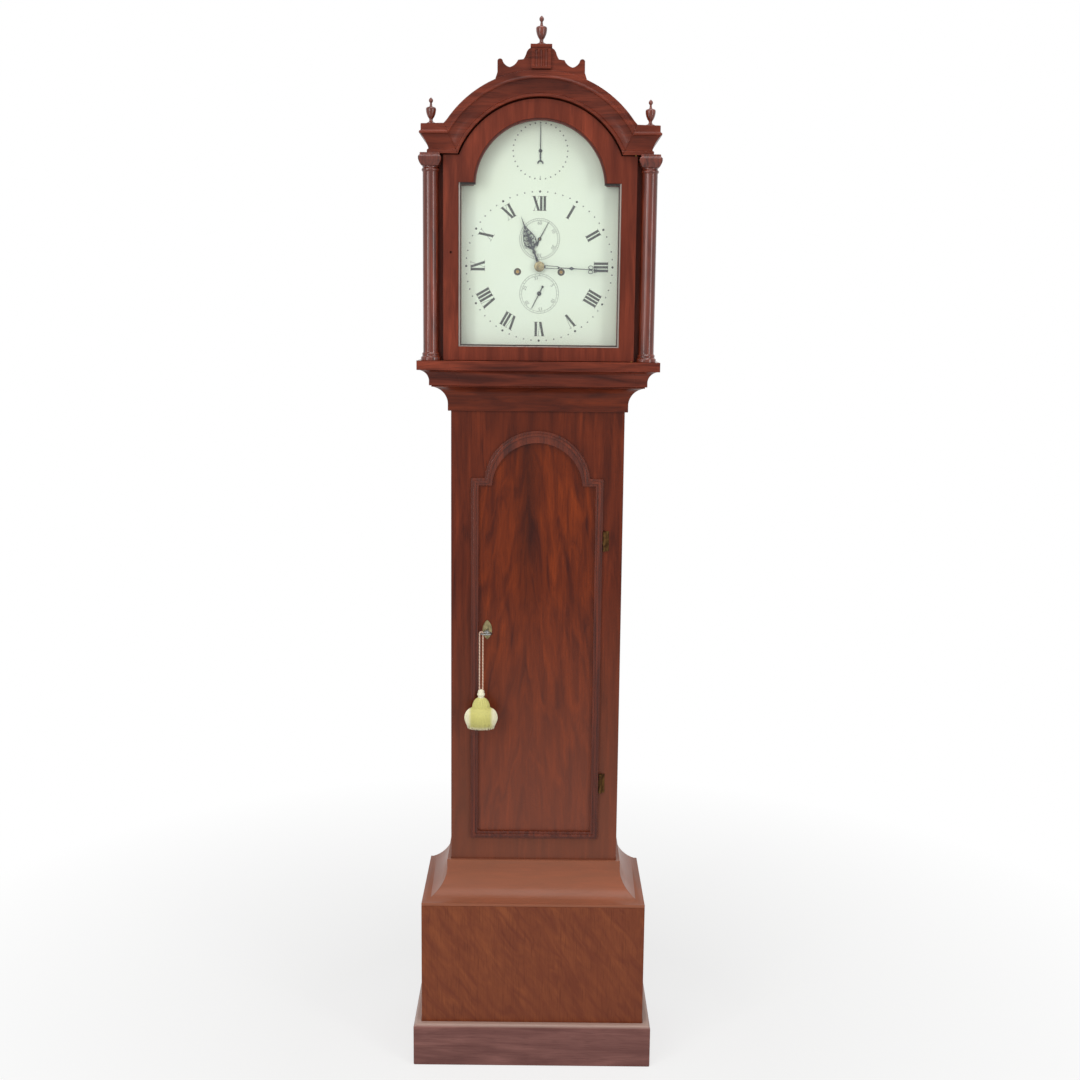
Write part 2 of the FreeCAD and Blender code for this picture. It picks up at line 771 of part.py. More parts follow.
def make_cornice():
    foot = size.cornice_foot_reach
    reach = size.cornice_reach
    cap = size.cornice_cap_reach
    level = cornice_level
    height = size.cornice_height
    shelf = height - size.cornice_cap_height
    hollow = foot - 3
    lip = 6
    curve = size.cornice_hollow_radius
    profile = [(0, 0), (foot, 0), (foot, lip), (hollow, lip + 2), (reach - 2, shelf - lip, curve),
               (reach, shelf - lip), (reach, shelf - 2), (cap, shelf), (cap, height), (0, height)]
    sides = three_sided_moulding(hood_half, door_front, hood_back, level, profile)
    inner = size.arch_cornice_radius
    outer = inner + size.arch_cornice_width
    mitre_foot = side_of_triangle(inner, level - arch_level)
    mitre_top = side_of_triangle(outer, level + height - arch_level)
    lean = (mitre_top - mitre_foot) / height
    tall = arch_level + outer + 20 - level
    wedge = [(mitre_foot, level), (mitre_foot + lean * tall, level + tall),
             (-mitre_foot - lean * tall, level + tall), (-mitre_foot, level)]
    front = door_front - reach - 5
    runs = cut(sides, [flat_piece(wedge, door_front + 1, door_front - front + 1)])
    scale = size.arch_cornice_width / height
    section = []
    for reach_here, rise, *bend in profile:
        section.append((-as_size(reach_here), inner + as_size(rise) * scale, *bend))
    arch = new_object("Part::Common", None)
    arch.Base = turned_across(section, 0, door_front, arch_level)
    arch.Tool = flat_piece(wedge, door_front + 1, door_front - front + 1)
    node("hood_cornice", group([runs, arch]))


def square_capital():
    """Square slab over a column, swelling and then drawn in towards the shaft."""
    top = cornice_level
    foot = top - size.capital_height
    wide = size.capital_half
    neck = size.column_radius + 1
    outline = [(neck, foot), (wide, foot + size.capital_height / 2, 30), (wide, top - 7), (wide - 3, top - 4),
               (wide - 3, top), (3 - wide, top), (3 - wide, top - 4), (-wide, top - 7),
               (-wide, foot + size.capital_height / 2), (-neck, foot, 30)]
    across = flat_piece(outline, wide, 2 * wide)
    along = flat_piece(outline, wide, 2 * wide)
    along.Placement.Rotation = FreeCAD.Rotation(FreeCAD.Vector(0, 0, 1), 90)
    place(along, -wide, 0, 0)
    slab = new_object("Part::Common", None)
    slab.Base = across
    slab.Tool = along
    return place(slab, column_x, column_y, 0)


def make_columns_and_finials():
    height = cornice_level - hood_floor
    slim = size.column_radius
    ring = size.column_ring_radius
    foot = size.column_base_height
    cap = height - size.column_cap_height
    outline = [(0, 0), (ring, 0), (ring, foot * 0.4), (slim + 1.5, foot * 0.55), (slim + 2.5, foot * 0.8),
               (slim, foot), (slim, cap), (slim + 2, cap + 2), (slim + 2, cap + 5), (slim, cap + 7),
               (slim, height), (0, height)]
    shaft = turned_piece(outline, column_x, column_y, hood_floor)
    column = fuse([shaft, square_capital()])
    node("hood_columns", group([column, mirrored(column)]))
    tall = size.side_finial_height
    wide = size.side_finial_radius
    urn = [(0, 0), (wide * 0.7, 0), (wide * 0.7, tall * 0.06), (wide * 0.28, tall * 0.12),
           (wide * 0.28, tall * 0.2), (wide, tall * 0.5, 30), (wide * 0.85, tall * 0.56),
           (wide * 0.25, tall * 0.66, -18), (wide * 0.32, tall * 0.78), (0, tall)]
    roof_top = roof_under + size.roof_board
    finial = turned_piece(urn, hood_half, door_front - 4, roof_top)
    tall = size.centre_finial_height
    wide = size.centre_finial_radius
    urn = [(0, 0), (wide * 0.8, 0), (wide * 0.8, tall * 0.06), (wide * 0.3, tall * 0.12),
           (wide * 0.3, tall * 0.2), (wide, tall * 0.48, 30), (wide * 0.85, tall * 0.54),
           (wide * 0.3, tall * 0.64, -18), (wide * 0.35, tall * 0.76), (0, tall)]
    middle = door_front - size.cornice_cap_reach / 2
    centre = turned_piece(urn, 0, middle, crest_block_top)
    node("finials", group([finial, mirrored(finial), centre]))


def make_cresting():
    half = size.cresting_half
    seat = size.arch_cornice_radius + size.arch_cornice_width + 0.2
    foot = arch_level + side_of_triangle(seat, half)
    top = cresting_top
    block = size.crest_block_half
    cap_under = crest_block_top - 6
    right = [(half, foot), (half - 4, foot + 12), (half - 4, top - 4), (half - 9, top, 5),
             (half - 14, top - 5, 5), (half - 27, top - 15, -18), (half - 42, top - 2, -22),
             (block + 6, top), (block, top + 10, -14), (block - 1, cap_under)]
    left = [(-block + 1, cap_under), (-block, top + 10), (-block - 6, top, -14), (-half + 42, top - 2),
            (-half + 27, top - 15, -22), (-half + 14, top - 5, -18), (-half + 9, top, 5),
            (-half + 4, top - 4, 5), (-half + 4, foot + 12), (-half, foot)]
    outline = [right[0] + (-seat,)] + right[1:] + left
    back = door_front - (size.cornice_cap_reach - size.cresting_board) / 2
    front = back - size.cresting_board
    scrolls = flat_piece(outline, back, size.cresting_board)
    low = arch_level + seat + 0.5
    face = front - size.crest_block_board
    body = box((-block + 2, block - 2), (face, front), (low, cap_under))
    flutes = []
    for step in (-1, 0, 1):
        flutes.append(post(step * (block - 2) / 2, face, (low + 4, cap_under - 3), 3))
    cap = box((-block, block), (face - 2, back), (cap_under, crest_block_top))
    node("cresting", group([scrolls, fuse([cut(body, flutes), cap])]))


def make_hood_door():
    foot = hood_floor + size.hood_door_gap
    shoulder = cornice_level - 2
    outer = arched_outline(size.hood_door_width / 2, foot, shoulder, size.arch_door_radius, arch_level)
    opening = (size.opening_half, opening_bottom, opening_shoulder, size.opening_arch_radius,
               opening_arch_level)
    board = flat_piece(outer, door_back, size.hood_door_board)
    window = through(arched_outline(*opening), door_front, door_back)
    stile_x = (size.hood_door_width / 2 + size.opening_half) / 2
    keyhole = rod(-stile_x, (door_front - 1, door_front + 8), dial_z + size.hood_keyhole_rise,
                  size.hood_keyhole_radius)
    node("hood_door_frame", cut(board, [window, keyhole]))
    bead_front = door_front + 3
    bead_back = bead_front + size.bead_board
    bead = flat_piece(arched_outline(*opening), bead_back, size.bead_board)
    gap = through(arched_outline(*opening, size.bead_width), bead_front, bead_back)
    node("hood_door_bead", cut(bead, [gap]))
    pane = arched_outline(*opening, 0.2)
    node("hood_door_glass", flat_piece(pane, bead_back + size.glass_board, size.glass_board))
    low = post(pivot_x, pivot_y, (hood_floor - 6, foot), pivot_radius)
    high = post(pivot_x, pivot_y, (shoulder, cornice_level + 8), pivot_radius)
    node("hood_door_pivots", group([low, high]))


# movement: arbors, meshes and the planes of the wheels between the plates
arbor = size.arbor_radius
clear = size.arbor_clearance
fine_bore = arbor + clear
winding_arbor = size.winding_arbor_radius
pallet_z = dial_z + size.seconds_rise + size.pallet_rise
cock_back = back_plate_back + size.cock_reach
pendulum_y = cock_back + size.pendulum_gap
arbor_span = (front_plate, back_plate_back)
barrel_back = barrel_front + size.barrel_length
great_y = barrel_back + size.great_wheel_step
pins_y = great_y + size.pin_wheel_step
third_y = great_y + size.third_wheel_step
centre_y = third_y + size.centre_wheel_step
escape_y = centre_y + size.escape_wheel_step
gathering_y = front_plate_back + size.gathering_wheel_step
warning_y = gathering_y + size.warning_wheel_step
minute_y = front_plate - size.minute_wheel_step
hour_y = minute_y - size.hour_wheel_step
minute_hand_y = dial_front - size.minute_hand_stand
hour_hand_y = dial_front - size.hour_hand_stand
small_hand_y = dial_front - size.small_hand_stand
cannon_radius = size.cannon_pipe_radius
hour_pipe_radius = size.hour_pipe_radius

TOOTH_TIP = 0.55
TOOTH_ROOT = 1.6
RIM_DEPTH = 4.2
HUB_RADIUS = 5.5
LEAF_LENGTH = 6
LEAF_LEAD = 2


class Arbor:
    """Place of an arbor seen from the front, from the dial's centre."""

    def __init__(self, x, z):
        self.x = as_size(x).value
        self.z = as_size(z).value

    def distance(self, other):
        return math.hypot(other.x - self.x, other.z - self.z)

    def angle_to(self, other):
        return math.atan2(other.z - self.z, other.x - self.x)

    def around(self, radius, angle):
        """Point at a radius and an angle from the arbor, in the part's frame."""
        return self.x + radius * math.cos(angle), dial_z.value + self.z + radius * math.sin(angle)


class Mesh:
    """Wheel and pinion pair: teeth, leaves and the module that fits their distance."""

    def __init__(self, teeth, leaves, wheel, pinion):
        self.teeth = teeth
        self.leaves = leaves
        self.module = 2 * wheel.distance(pinion) / (teeth + leaves)


def beside(first, second, first_distance, second_distance):
    """Arbor to the right of two others, at given distances from them."""
    span = first.distance(second)
    along = (first_distance ** 2 - second_distance ** 2 + span ** 2) / (2 * span)
    off = math.sqrt(first_distance ** 2 - along ** 2)
    ux = (second.x - first.x) / span
    uz = (second.z - first.z) / span
    return Arbor(first.x + along * ux + off * uz, first.z + along * uz - off * ux)


centre = Arbor(0, 0)
escape = Arbor(0, size.seconds_rise)
pallet = Arbor(0, size.seconds_rise + size.pallet_rise)
going = Arbor(size.barrel_offset, -size.barrel_drop)
striking = Arbor(-size.barrel_offset, -size.barrel_drop)
third = beside(centre, escape, size.third_from_centre.value, size.third_from_escape.value)
pin_arbor = Arbor(-size.pin_arbor_x, size.pin_arbor_rise)
gathering = Arbor(-size.gathering_arbor_x, size.gathering_arbor_rise)
warning = Arbor(-size.warning_arbor_x, size.warning_arbor_rise)
fly_arbor = Arbor(-size.fly_arbor_x, size.fly_arbor_rise)
minute_stud = Arbor(0, -size.minute_stud_drop)
hammer = Arbor(size.hammer_arbor_x, size.hammer_arbor_rise)
great_mesh = Mesh(96, 8, going, centre)
centre_mesh = Mesh(60, 8, centre, third)
third_mesh = Mesh(56, 7, third, escape)
strike_mesh = Mesh(84, 8, striking, pin_arbor)
pin_mesh = Mesh(64, 8, pin_arbor, gathering)
gathering_mesh = Mesh(56, 7, gathering, warning)
warning_mesh = Mesh(49, 7, warning, fly_arbor)
cannon_mesh = Mesh(40, 40, centre, minute_stud)
hour_mesh = Mesh(72, 6, centre, minute_stud)


def prism(points, front, thick):
    """Solid with straight sides through points in X and Z."""
    corners = [FreeCAD.Vector(x, front, z) for x, z in points]
    face = Part.Face(Part.makePolygon(corners + corners[:1]))
    return face.extrude(FreeCAD.Vector(0, thick, 0))


def toothed(place, teeth, module, towards, front, thick, tooth_first):
    """Wheel with pointed teeth and crossings; a tooth, or a gap, faces the arbor it meshes with."""
    pitch = module * teeth / 2
    start = place.angle_to(towards)
    if not tooth_first:
        start += math.pi / teeth
    outline = []
    for index in range(2 * teeth):
        radius = pitch + TOOTH_TIP * module if index % 2 == 0 else pitch - TOOTH_ROOT * module
        outline.append(place.around(radius, start + math.pi * index / teeth))
    front = as_size(front).value
    thick = as_size(thick).value
    blank = prism(outline, front, thick)
    rim = pitch - RIM_DEPTH * module
    if rim > 2 * HUB_RADIUS:
        corners = ((HUB_RADIUS, 30), (HUB_RADIUS, 60), (rim, 80), (rim * 1.02, 45), (rim, 10))
        for quarter in range(4):
            window = []
            for radius, degrees in corners:
                window.append(place.around(radius, math.radians(degrees + 90 * quarter)))
            blank = blank.cut(prism(window, front - 1, thick + 2))
    wheel = new_object("Part::Feature", None)
    wheel.Shape = blank
    return wheel


def wheel_of(mesh, place, towards, front, thick=size.wheel_board):
    return toothed(place, mesh.teeth, mesh.module, towards, front, thick, True)


def pinion_of(mesh, place, towards, wheel_front, length=LEAF_LENGTH):
    """Pinion long enough to stand out on both sides of the wheel that it meets."""
    return toothed(place, mesh.leaves, mesh.module, towards, wheel_front - LEAF_LEAD, length, False)


def bar(place, span, radius):
    """Round bar along Y at an arbor's place."""
    return rod(place.x, span, dial_z + place.z, radius)


def make_dial():
    half = size.dial_width / 2
    outline = arched_outline(half, dial_z - half, opening_shoulder + 1, size.dial_arch_radius,
                             opening_arch_level + 1)
    plate = flat_piece(outline, dial_back, size.dial_board)
    span = (dial_front - 1, dial_back + 1)
    holes = [bar(centre, span, hour_pipe_radius + 1), bar(escape, span, arbor + 1),
             rod(0, span, dial_z - size.date_drop, fine_bore),
             rod(0, span, dial_z + size.selector_rise, fine_bore)]
    for place in (going, striking):
        holes.append(bar(place, span, size.winding_hole_radius))
    node("dial_plate", cut(plate, holes))


def make_movement_frame():
    places = [centre, third, escape, pallet, pin_arbor, gathering, warning, fly_arbor, hammer]
    plates = []
    for front, pivots in ((front_plate, places + [minute_stud]), (back_plate, places)):
        back = front + size.plate_board
        blank = box((-size.plate_half, size.plate_half), (front, back), (seat_top, dial_z + size.plate_above))
        span = (front - 1, back + 1)
        holes = [bar(place, span, fine_bore) for place in pivots]
        for place in (going, striking):
            holes.append(bar(place, span, winding_arbor + clear))
        plates.append(cut(blank, holes))
    outside = size.cock_half
    level = (pallet_z - 8, pallet_z + 8)
    bridge_front = cock_back - size.cock_board
    bridge = box((-outside, outside), (bridge_front, cock_back), level)
    pivot_hole = rod(0, (bridge_front - 1, cock_back), pallet_z, fine_bore)
    leg = box((outside - 6, outside), (back_plate_back, bridge_front), level)
    stud = rod(0, (cock_back, pendulum_y + 7), pallet_z, size.pendulum_stud_radius)
    cock = fuse([cut(bridge, [pivot_hole]), leg, mirrored(leg), stud])
    node("movement_plates", group(plates + [cock]))
    pillars = []
    for x in (-size.pillar_x, size.pillar_x):
        for z in (dial_z - size.pillar_z, dial_z + size.pillar_z):
            pillars.append(rod(x, (front_plate_back, back_plate), z, size.pillar_radius))
            pillars.append(rod(x, (dial_back, front_plate), z, size.dial_foot_radius))
    node("movement_pillars", group(pillars))


def make_going_train():
    node("centre_wheel", fuse([wheel_of(centre_mesh, centre, third, centre_y),
                               pinion_of(great_mesh, centre, going, great_y),
                               bar(centre, (minute_hand_y - 4, back_plate_back), arbor)]))
    pipe = bar(centre, (minute_hand_y + size.hand_board, minute_y + size.wheel_board), cannon_radius)
    bore = bar(centre, (minute_hand_y, front_plate), fine_bore)
    node("cannon_pinion", cut(fuse([wheel_of(cannon_mesh, centre, minute_stud, minute_y), pipe]), [bore]))
    node("third_wheel", fuse([wheel_of(third_mesh, third, escape, third_y),
                              pinion_of(centre_mesh, third, centre, centre_y),
                              bar(third, arbor_span, arbor)]))
    escape_wheel = toothed(escape, 30, size.escape_module.value, pallet, escape_y, size.wheel_board / 2, True)
    node("escape_wheel", fuse([escape_wheel, pinion_of(third_mesh, escape, third, third_y),
                               bar(escape, (small_hand_y - 1, back_plate_back), arbor)]))
    beyond = (great_y - 1, great_y + size.wheel_board + 1)
    for label, place, mesh, driven in (("going_great_wheel", going, great_mesh, centre),
                                       ("strike_great_wheel", striking, strike_mesh, pin_arbor)):
        bore = bar(place, beyond, winding_arbor + clear)
        node(label, cut(wheel_of(mesh, place, driven, great_y), [bore]))


def make_barrels():
    drum = size.barrel_radius - size.line_radius - size.line_gap
    half = size.winding_square / 2
    shoulder = front_plate - 2
    for label, place in (("going_barrel", going), ("strike_barrel", striking)):
        level = dial_z + place.z
        square = box((place.x - half, place.x + half), (dial_back - 1, shoulder),
                     (level - half, level + half))
        node(label, fuse([bar(place, (barrel_front, barrel_back), drum),
                          bar(place, (barrel_front - 3, barrel_front), drum + 1),
                          bar(place, (barrel_back, great_y - 0.2), drum - 4),
                          bar(place, (shoulder, back_plate_back), winding_arbor), square]))


def make_motion_work():
    follower = toothed(minute_stud, cannon_mesh.leaves, cannon_mesh.module, centre, minute_y,
                       size.wheel_board, False)
    leaf_front = hour_y - LEAF_LEAD
    leaves = toothed(minute_stud, hour_mesh.leaves, hour_mesh.module, centre, leaf_front, LEAF_LENGTH, True)
    stud = bar(minute_stud, (leaf_front - 1, front_plate_back), arbor)
    node("minute_wheel", fuse([follower, leaves, stud]))
    wheel = toothed(centre, hour_mesh.teeth, hour_mesh.module, minute_stud, hour_y, size.wheel_board, False)
    back = hour_y + size.wheel_board
    pipe = bar(centre, (hour_hand_y, back), hour_pipe_radius)
    bore = bar(centre, (hour_hand_y - 1, back + 1), cannon_radius + clear)
    node("hour_wheel", cut(fuse([wheel, pipe]), [bore]))


def make_strike_train():
    pins = []
    ring = pin_mesh.module * pin_mesh.teeth / 2 - 3 * pin_mesh.module
    pins_back = pins_y + size.wheel_board
    for index in range(8):
        x, z = pin_arbor.around(ring, math.pi * index / 4)
        pins.append(rod(x, (pins_back - 0.5, pins_back + 4), z, size.lifting_pin_radius))
    node("pin_wheel", fuse([wheel_of(pin_mesh, pin_arbor, gathering, pins_y),
                            pinion_of(strike_mesh, pin_arbor, striking, great_y),
                            bar(pin_arbor, arbor_span, arbor)] + pins))
    node("gathering_wheel", fuse([wheel_of(gathering_mesh, gathering, warning, gathering_y),
                                  pinion_of(pin_mesh, gathering, pin_arbor, pins_y),
                                  bar(gathering, arbor_span, arbor)]))
    node("warning_wheel", fuse([wheel_of(warning_mesh, warning, fly_arbor, warning_y),
                                pinion_of(gathering_mesh, warning, gathering, gathering_y),
                                bar(warning, arbor_span, arbor)]))
    half = size.fly_half
    level = dial_z + fly_arbor.z
    vane_front = warning_y + 8
    vane = box((fly_arbor.x - half, fly_arbor.x + half), (vane_front, vane_front + size.fly_length),
               (level - 0.5, level + 0.5))
    node("fly", fuse([pinion_of(warning_mesh, fly_arbor, warning, warning_y),
                      bar(fly_arbor, arbor_span, arbor), vane]))


def make_bell():
    radius = size.bell_radius
    height = size.bell_height
    wall = size.bell_wall
    crown = 10
    outline = [(radius - wall, 0), (radius, 0), (radius, wall), (crown, height, 42), (0, height),
               (0, height - wall), (crown, height - wall), (radius - wall, wall, -39)]
    stand_y = (back_plate_back, back_plate_back + 4)
    gong = turned_piece(outline, 0, back_plate_back + 2, bell_level)
    top = bell_level + height
    outside = radius + 12
    stand = fuse([box((-outside, 6 - outside), stand_y, (dial_z + size.bell_stand_foot, top + 4)),
                  box((-outside, 4), stand_y, (top, top + 4))])
    node("bell", group([gong, stand]))


def make_hammer():
    stem_back = back_plate - 7
    jog = 8
    foot = dial_z + hammer.z - 2
    bend = foot + 27
    tip = bell_level + 9
    left = hammer.x - 1.5
    right = hammer.x + 1.5
    outline = [(left, foot), (right, foot), (right, bend), (right + jog, bend + jog), (right + jog, tip),
               (left + jog, tip), (left + jog, bend + jog + 1.2), (left, bend + 1.2)]
    stem = flat_piece(outline, stem_back, 3)
    head = new_object("Part::Cylinder", None)
    head.setExpression("Radius", size.hammer_head_radius.text)
    head.setExpression("Height", size.hammer_head_length.text)
    head.Placement.Rotation = FreeCAD.Rotation(FreeCAD.Vector(0, 1, 0), 90)
    place(head, size.bell_radius + 1, stem_back - 1.5, bell_level + 5)
    node("bell_hammer", fuse([stem, head, bar(hammer, arbor_span, arbor)]))


def make_pallets():
    half = 16
    rise = pallet_z
    anchor = flat_piece([(-3, rise + 4), (-half, rise - 9), (3 - half, rise - 13), (5 - half, rise - 10.5),
                         (-3, rise - 4), (3, rise - 4), (half - 5, rise - 10.5), (half - 3, rise - 13),
                         (half, rise - 9), (3, rise + 4)], escape_y + 2, size.wheel_board)
    strip = (back_plate_back + 6, back_plate_back + 8)
    slot = size.pendulum_rod_radius + 0.4
    fork = (pallet_z - size.crutch_length, pallet_z - size.crutch_length + 6)
    prong = box((slot, slot + 2), (back_plate_back + 6, pendulum_y + 4), fork)
    shaft = bar(pallet, (front_plate, cock_back - 0.2), arbor)
    crutch = box((-2.5, 2.5), strip, (fork[0], pallet_z + 4))
    yoke = box((-slot - 2, slot + 2), strip, fork)
    node("pallets", fuse([anchor, shaft, crutch, yoke, prong, mirrored(prong)]))


def make_pendulum():
    bob_z = pallet_z - size.pendulum_length
    half_eye = size.pendulum_rod_radius + 0.5
    eye = rod(0, (pendulum_y - half_eye, pendulum_y + half_eye), pallet_z, size.pendulum_eye_radius)
    through_eye = (pendulum_y - half_eye - 1, pendulum_y + half_eye + 1)
    hole = rod(0, through_eye, pallet_z, size.pendulum_stud_radius + clear)
    nut_top = bob_z - size.bob_radius - 0.3
    nut_low = nut_top - size.rating_nut_height
    shaft = post(0, pendulum_y, (nut_low - 13, pallet_z - 4), size.pendulum_rod_radius)
    nut = post(0, pendulum_y, (nut_low, nut_top), size.rating_nut_radius)
    node("pendulum_rod", fuse([cut(eye, [hole]), shaft, nut]))
    half = size.bob_thickness / 2
    curve = (size.bob_radius * size.bob_radius + half * half) / (2 * half)
    lens = turned_across([(-half, 0, curve), (half, 0), (0, size.bob_radius, curve)], 0, pendulum_y, bob_z)
    reach = size.bob_radius + 5
    bore = post(0, pendulum_y, (bob_z - reach, bob_z + reach), size.pendulum_rod_radius + clear)
    node("pendulum_bob", cut(lens, [bore]))


def make_weights():
    radius = size.weight_radius
    length = size.weight_length
    low = floor_top + size.weight_floor_gap
    high = low + length
    wheel_z = high + size.pulley_rise
    half = size.pulley_board / 2
    inside = half + 0.5
    outside = inside + 2
    groove = size.pulley_radius - size.line_radius - size.line_gap
    rim = groove + 4
    groove_half = size.line_radius + 0.5
    hook = 4
    edge = 3
    for name, side in (("going", 1), ("strike", -1)):
        x = side * (drop_line_x - size.pulley_radius)
        outline = [(0, 0), (radius - edge, 0), (radius, edge), (radius, length - edge),
                   (radius - edge, length), (hook, length), (hook, length + 8), (0, length + 8)]
        lead = turned_piece(outline, x, barrel_mid, low)
        wide = (x - 5, x + 5)
        bridge = box(wide, (barrel_mid - outside, barrel_mid + outside), (high + 6, high + 10))
        back_cheek = box(wide, (barrel_mid + inside, barrel_mid + outside), (high + 6, wheel_z + 6))
        front_cheek = box(wide, (barrel_mid - outside, barrel_mid - inside), (high + 6, wheel_z + 6))
        pin = rod(x, (barrel_mid - inside - 1, barrel_mid + inside + 1), wheel_z, size.pulley_pin_radius)
        bight = new_object("Part::Torus", None)
        bight.setExpression("Radius1", size.pulley_radius.text)
        bight.setExpression("Radius2", size.line_radius.text)
        bight.Angle3 = 180
        bight.Placement.Rotation = FreeCAD.Rotation(FreeCAD.Vector(1, 0, 0), -90)
        place(bight, x, barrel_mid, wheel_z)
        node(f"{name}_weight", group([fuse([lead, bridge, back_cheek, front_cheek, pin]), bight]))
        wheel = fuse([rod(x, (barrel_mid - half, barrel_mid - groove_half), wheel_z, rim),
                      rod(x, (barrel_mid - groove_half, barrel_mid + groove_half), wheel_z, groove),
                      rod(x, (barrel_mid + groove_half, barrel_mid + half), wheel_z, rim)])
        bore = rod(x, (barrel_mid - half - 1, barrel_mid + half + 1), wheel_z, size.pulley_pin_radius + clear)
        node(f"{name}_pulley", cut(wheel, [bore]))
        drop = post(side * drop_line_x, barrel_mid, (wheel_z, dial_z - size.barrel_drop), size.line_radius)
        tied = post(side * (drop_line_x - 2 * size.pulley_radius), barrel_mid, (wheel_z, seat_under),
                    size.line_radius)
        node(f"{name}_line", group([drop, tied]))


def turned_hand(outline, front, z, degrees, piercings=()):
    """Flat hand drawn pointing up and then turned clockwise."""
    blade = flat_piece(outline, 0, size.hand_board)
    if piercings:
        blade = cut(blade, [flat_piece(hole, 1, size.hand_board + 2) for hole in piercings])
    blade.Placement.Rotation = FreeCAD.Rotation(FreeCAD.Vector(0, 1, 0), degrees)
    return place(blade, 0, front + size.hand_board, z)


def both_sides(right):
    """Closed outline from its right half, given from the bottom to the top with no arcs."""
    return right + [(-x, z) for x, z in reversed(right)]


def small_hand(front, z, length, degrees):
    """Tapered hand with a broad tail; it comes back with its hub."""
    outline = both_sides([(3, length * -0.4), (0.9, 0), (0.3, length)])
    hub = rod(0, (front, front + size.hand_board), z, size.small_hub_radius)
    return [turned_hand(outline, front, z, degrees), hub]


def make_hour_hand():
    length = size.hour_hand_length
    front = hour_hand_y
    back = front + size.hand_board
    leaf = both_sides([(2, 4), (1.6, length * 0.3), (6, length * 0.4), (9.5, length * 0.52),
                       (9, length * 0.64), (6, length * 0.74), (1.4, length * 0.84), (0.4, length)])
    right = [(1.2, length * 0.44), (6, length * 0.52), (5.4, length * 0.66), (1.2, length * 0.76)]
    left = [(-x, z) for x, z in reversed(right)]
    hub = bar(centre, (front, back), hour_pipe_radius + 3)
    bore = bar(centre, (front - 1, back + 1), hour_pipe_radius + clear)
    blade = turned_hand(leaf, front, dial_z, -21, [right, left])
    node("hour_hand", cut(fuse([blade, hub]), [bore]))


def make_minute_hand():
    length = size.minute_hand_length
    front = minute_hand_y
    back = front + size.hand_board
    outline = both_sides([(1.8, 4), (1.2, length * 0.47), (4.2, length * 0.55), (4.2, length * 0.61),
                          (1.2, length * 0.68), (0.4, length)])
    wide = size.collet_radius
    high = size.collet_height
    bulge = (wide * wide + high * high) / (2 * high)
    dome = turned_across([(0, 0), (0, wide), (-high, 0, bulge)], 0, front, dial_z)
    hub = bar(centre, (front, back), cannon_radius + 4)
    bore = bar(centre, (front - high - 1, back + 1), fine_bore)
    node("minute_hand", cut(fuse([turned_hand(outline, front, dial_z, 93), hub, dome]), [bore]))


def make_small_hands():
    front = small_hand_y
    level = dial_z + size.seconds_rise
    bore = rod(0, (front - 1, front + size.hand_board + 1), level, fine_bore)
    node("seconds_hand", cut(fuse(small_hand(front, level, size.seconds_hand_length, 28)), [bore]))
    pin = (front, dial_back + 5)
    level = dial_z - size.date_drop
    date = small_hand(front, level, size.date_hand_length, 207)
    node("date_hand", fuse(date + [rod(0, pin, level, arbor)]))
    level = dial_z + size.selector_rise
    selector = small_hand(front, level, size.selector_hand_length, 0)
    node("selector_hand", fuse(selector + [rod(0, pin, level, arbor)]))


def finish_and_write():
    """Check every object, then write one file for each node."""
    doc.recompute()
    for thing in doc.Objects:
        if "Invalid" in thing.State or "Error" in thing.State:
            raise RuntimeError(f"{thing.Label} failed: {thing.State}")
    for label, thing in nodes.items():
        shape = thing.Shape
        if shape.isNull() or not shape.isValid() or not shape.Solids:
            raise RuntimeError(f"{label} has no valid solid")
    os.makedirs("parts", exist_ok=True)
    for label, thing in nodes.items():
        thing.Shape.exportStep(os.path.join("parts", f"{label}.step"))
        print(label, len(thing.Shape.Solids), round(thing.Shape.Volume / 1000, 1))


make_base()
make_backboard()
make_trunk()
make_trunk_door()
make_trunk_hinges()
make_key_and_tassel()
make_hood_case()
make_cornice()
make_columns_and_finials()
make_cresting()
make_hood_door()
make_dial()
make_movement_frame()
make_going_train()
make_barrels()
make_motion_work()
make_strike_train()
make_bell()
make_hammer()
make_pallets()
make_pendulum()
make_weights()
make_hour_hand()
make_minute_hand()
make_small_hands()
finish_and_write()
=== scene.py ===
import json
import math

import bmesh
import bpy
from mathutils import Matrix, Vector

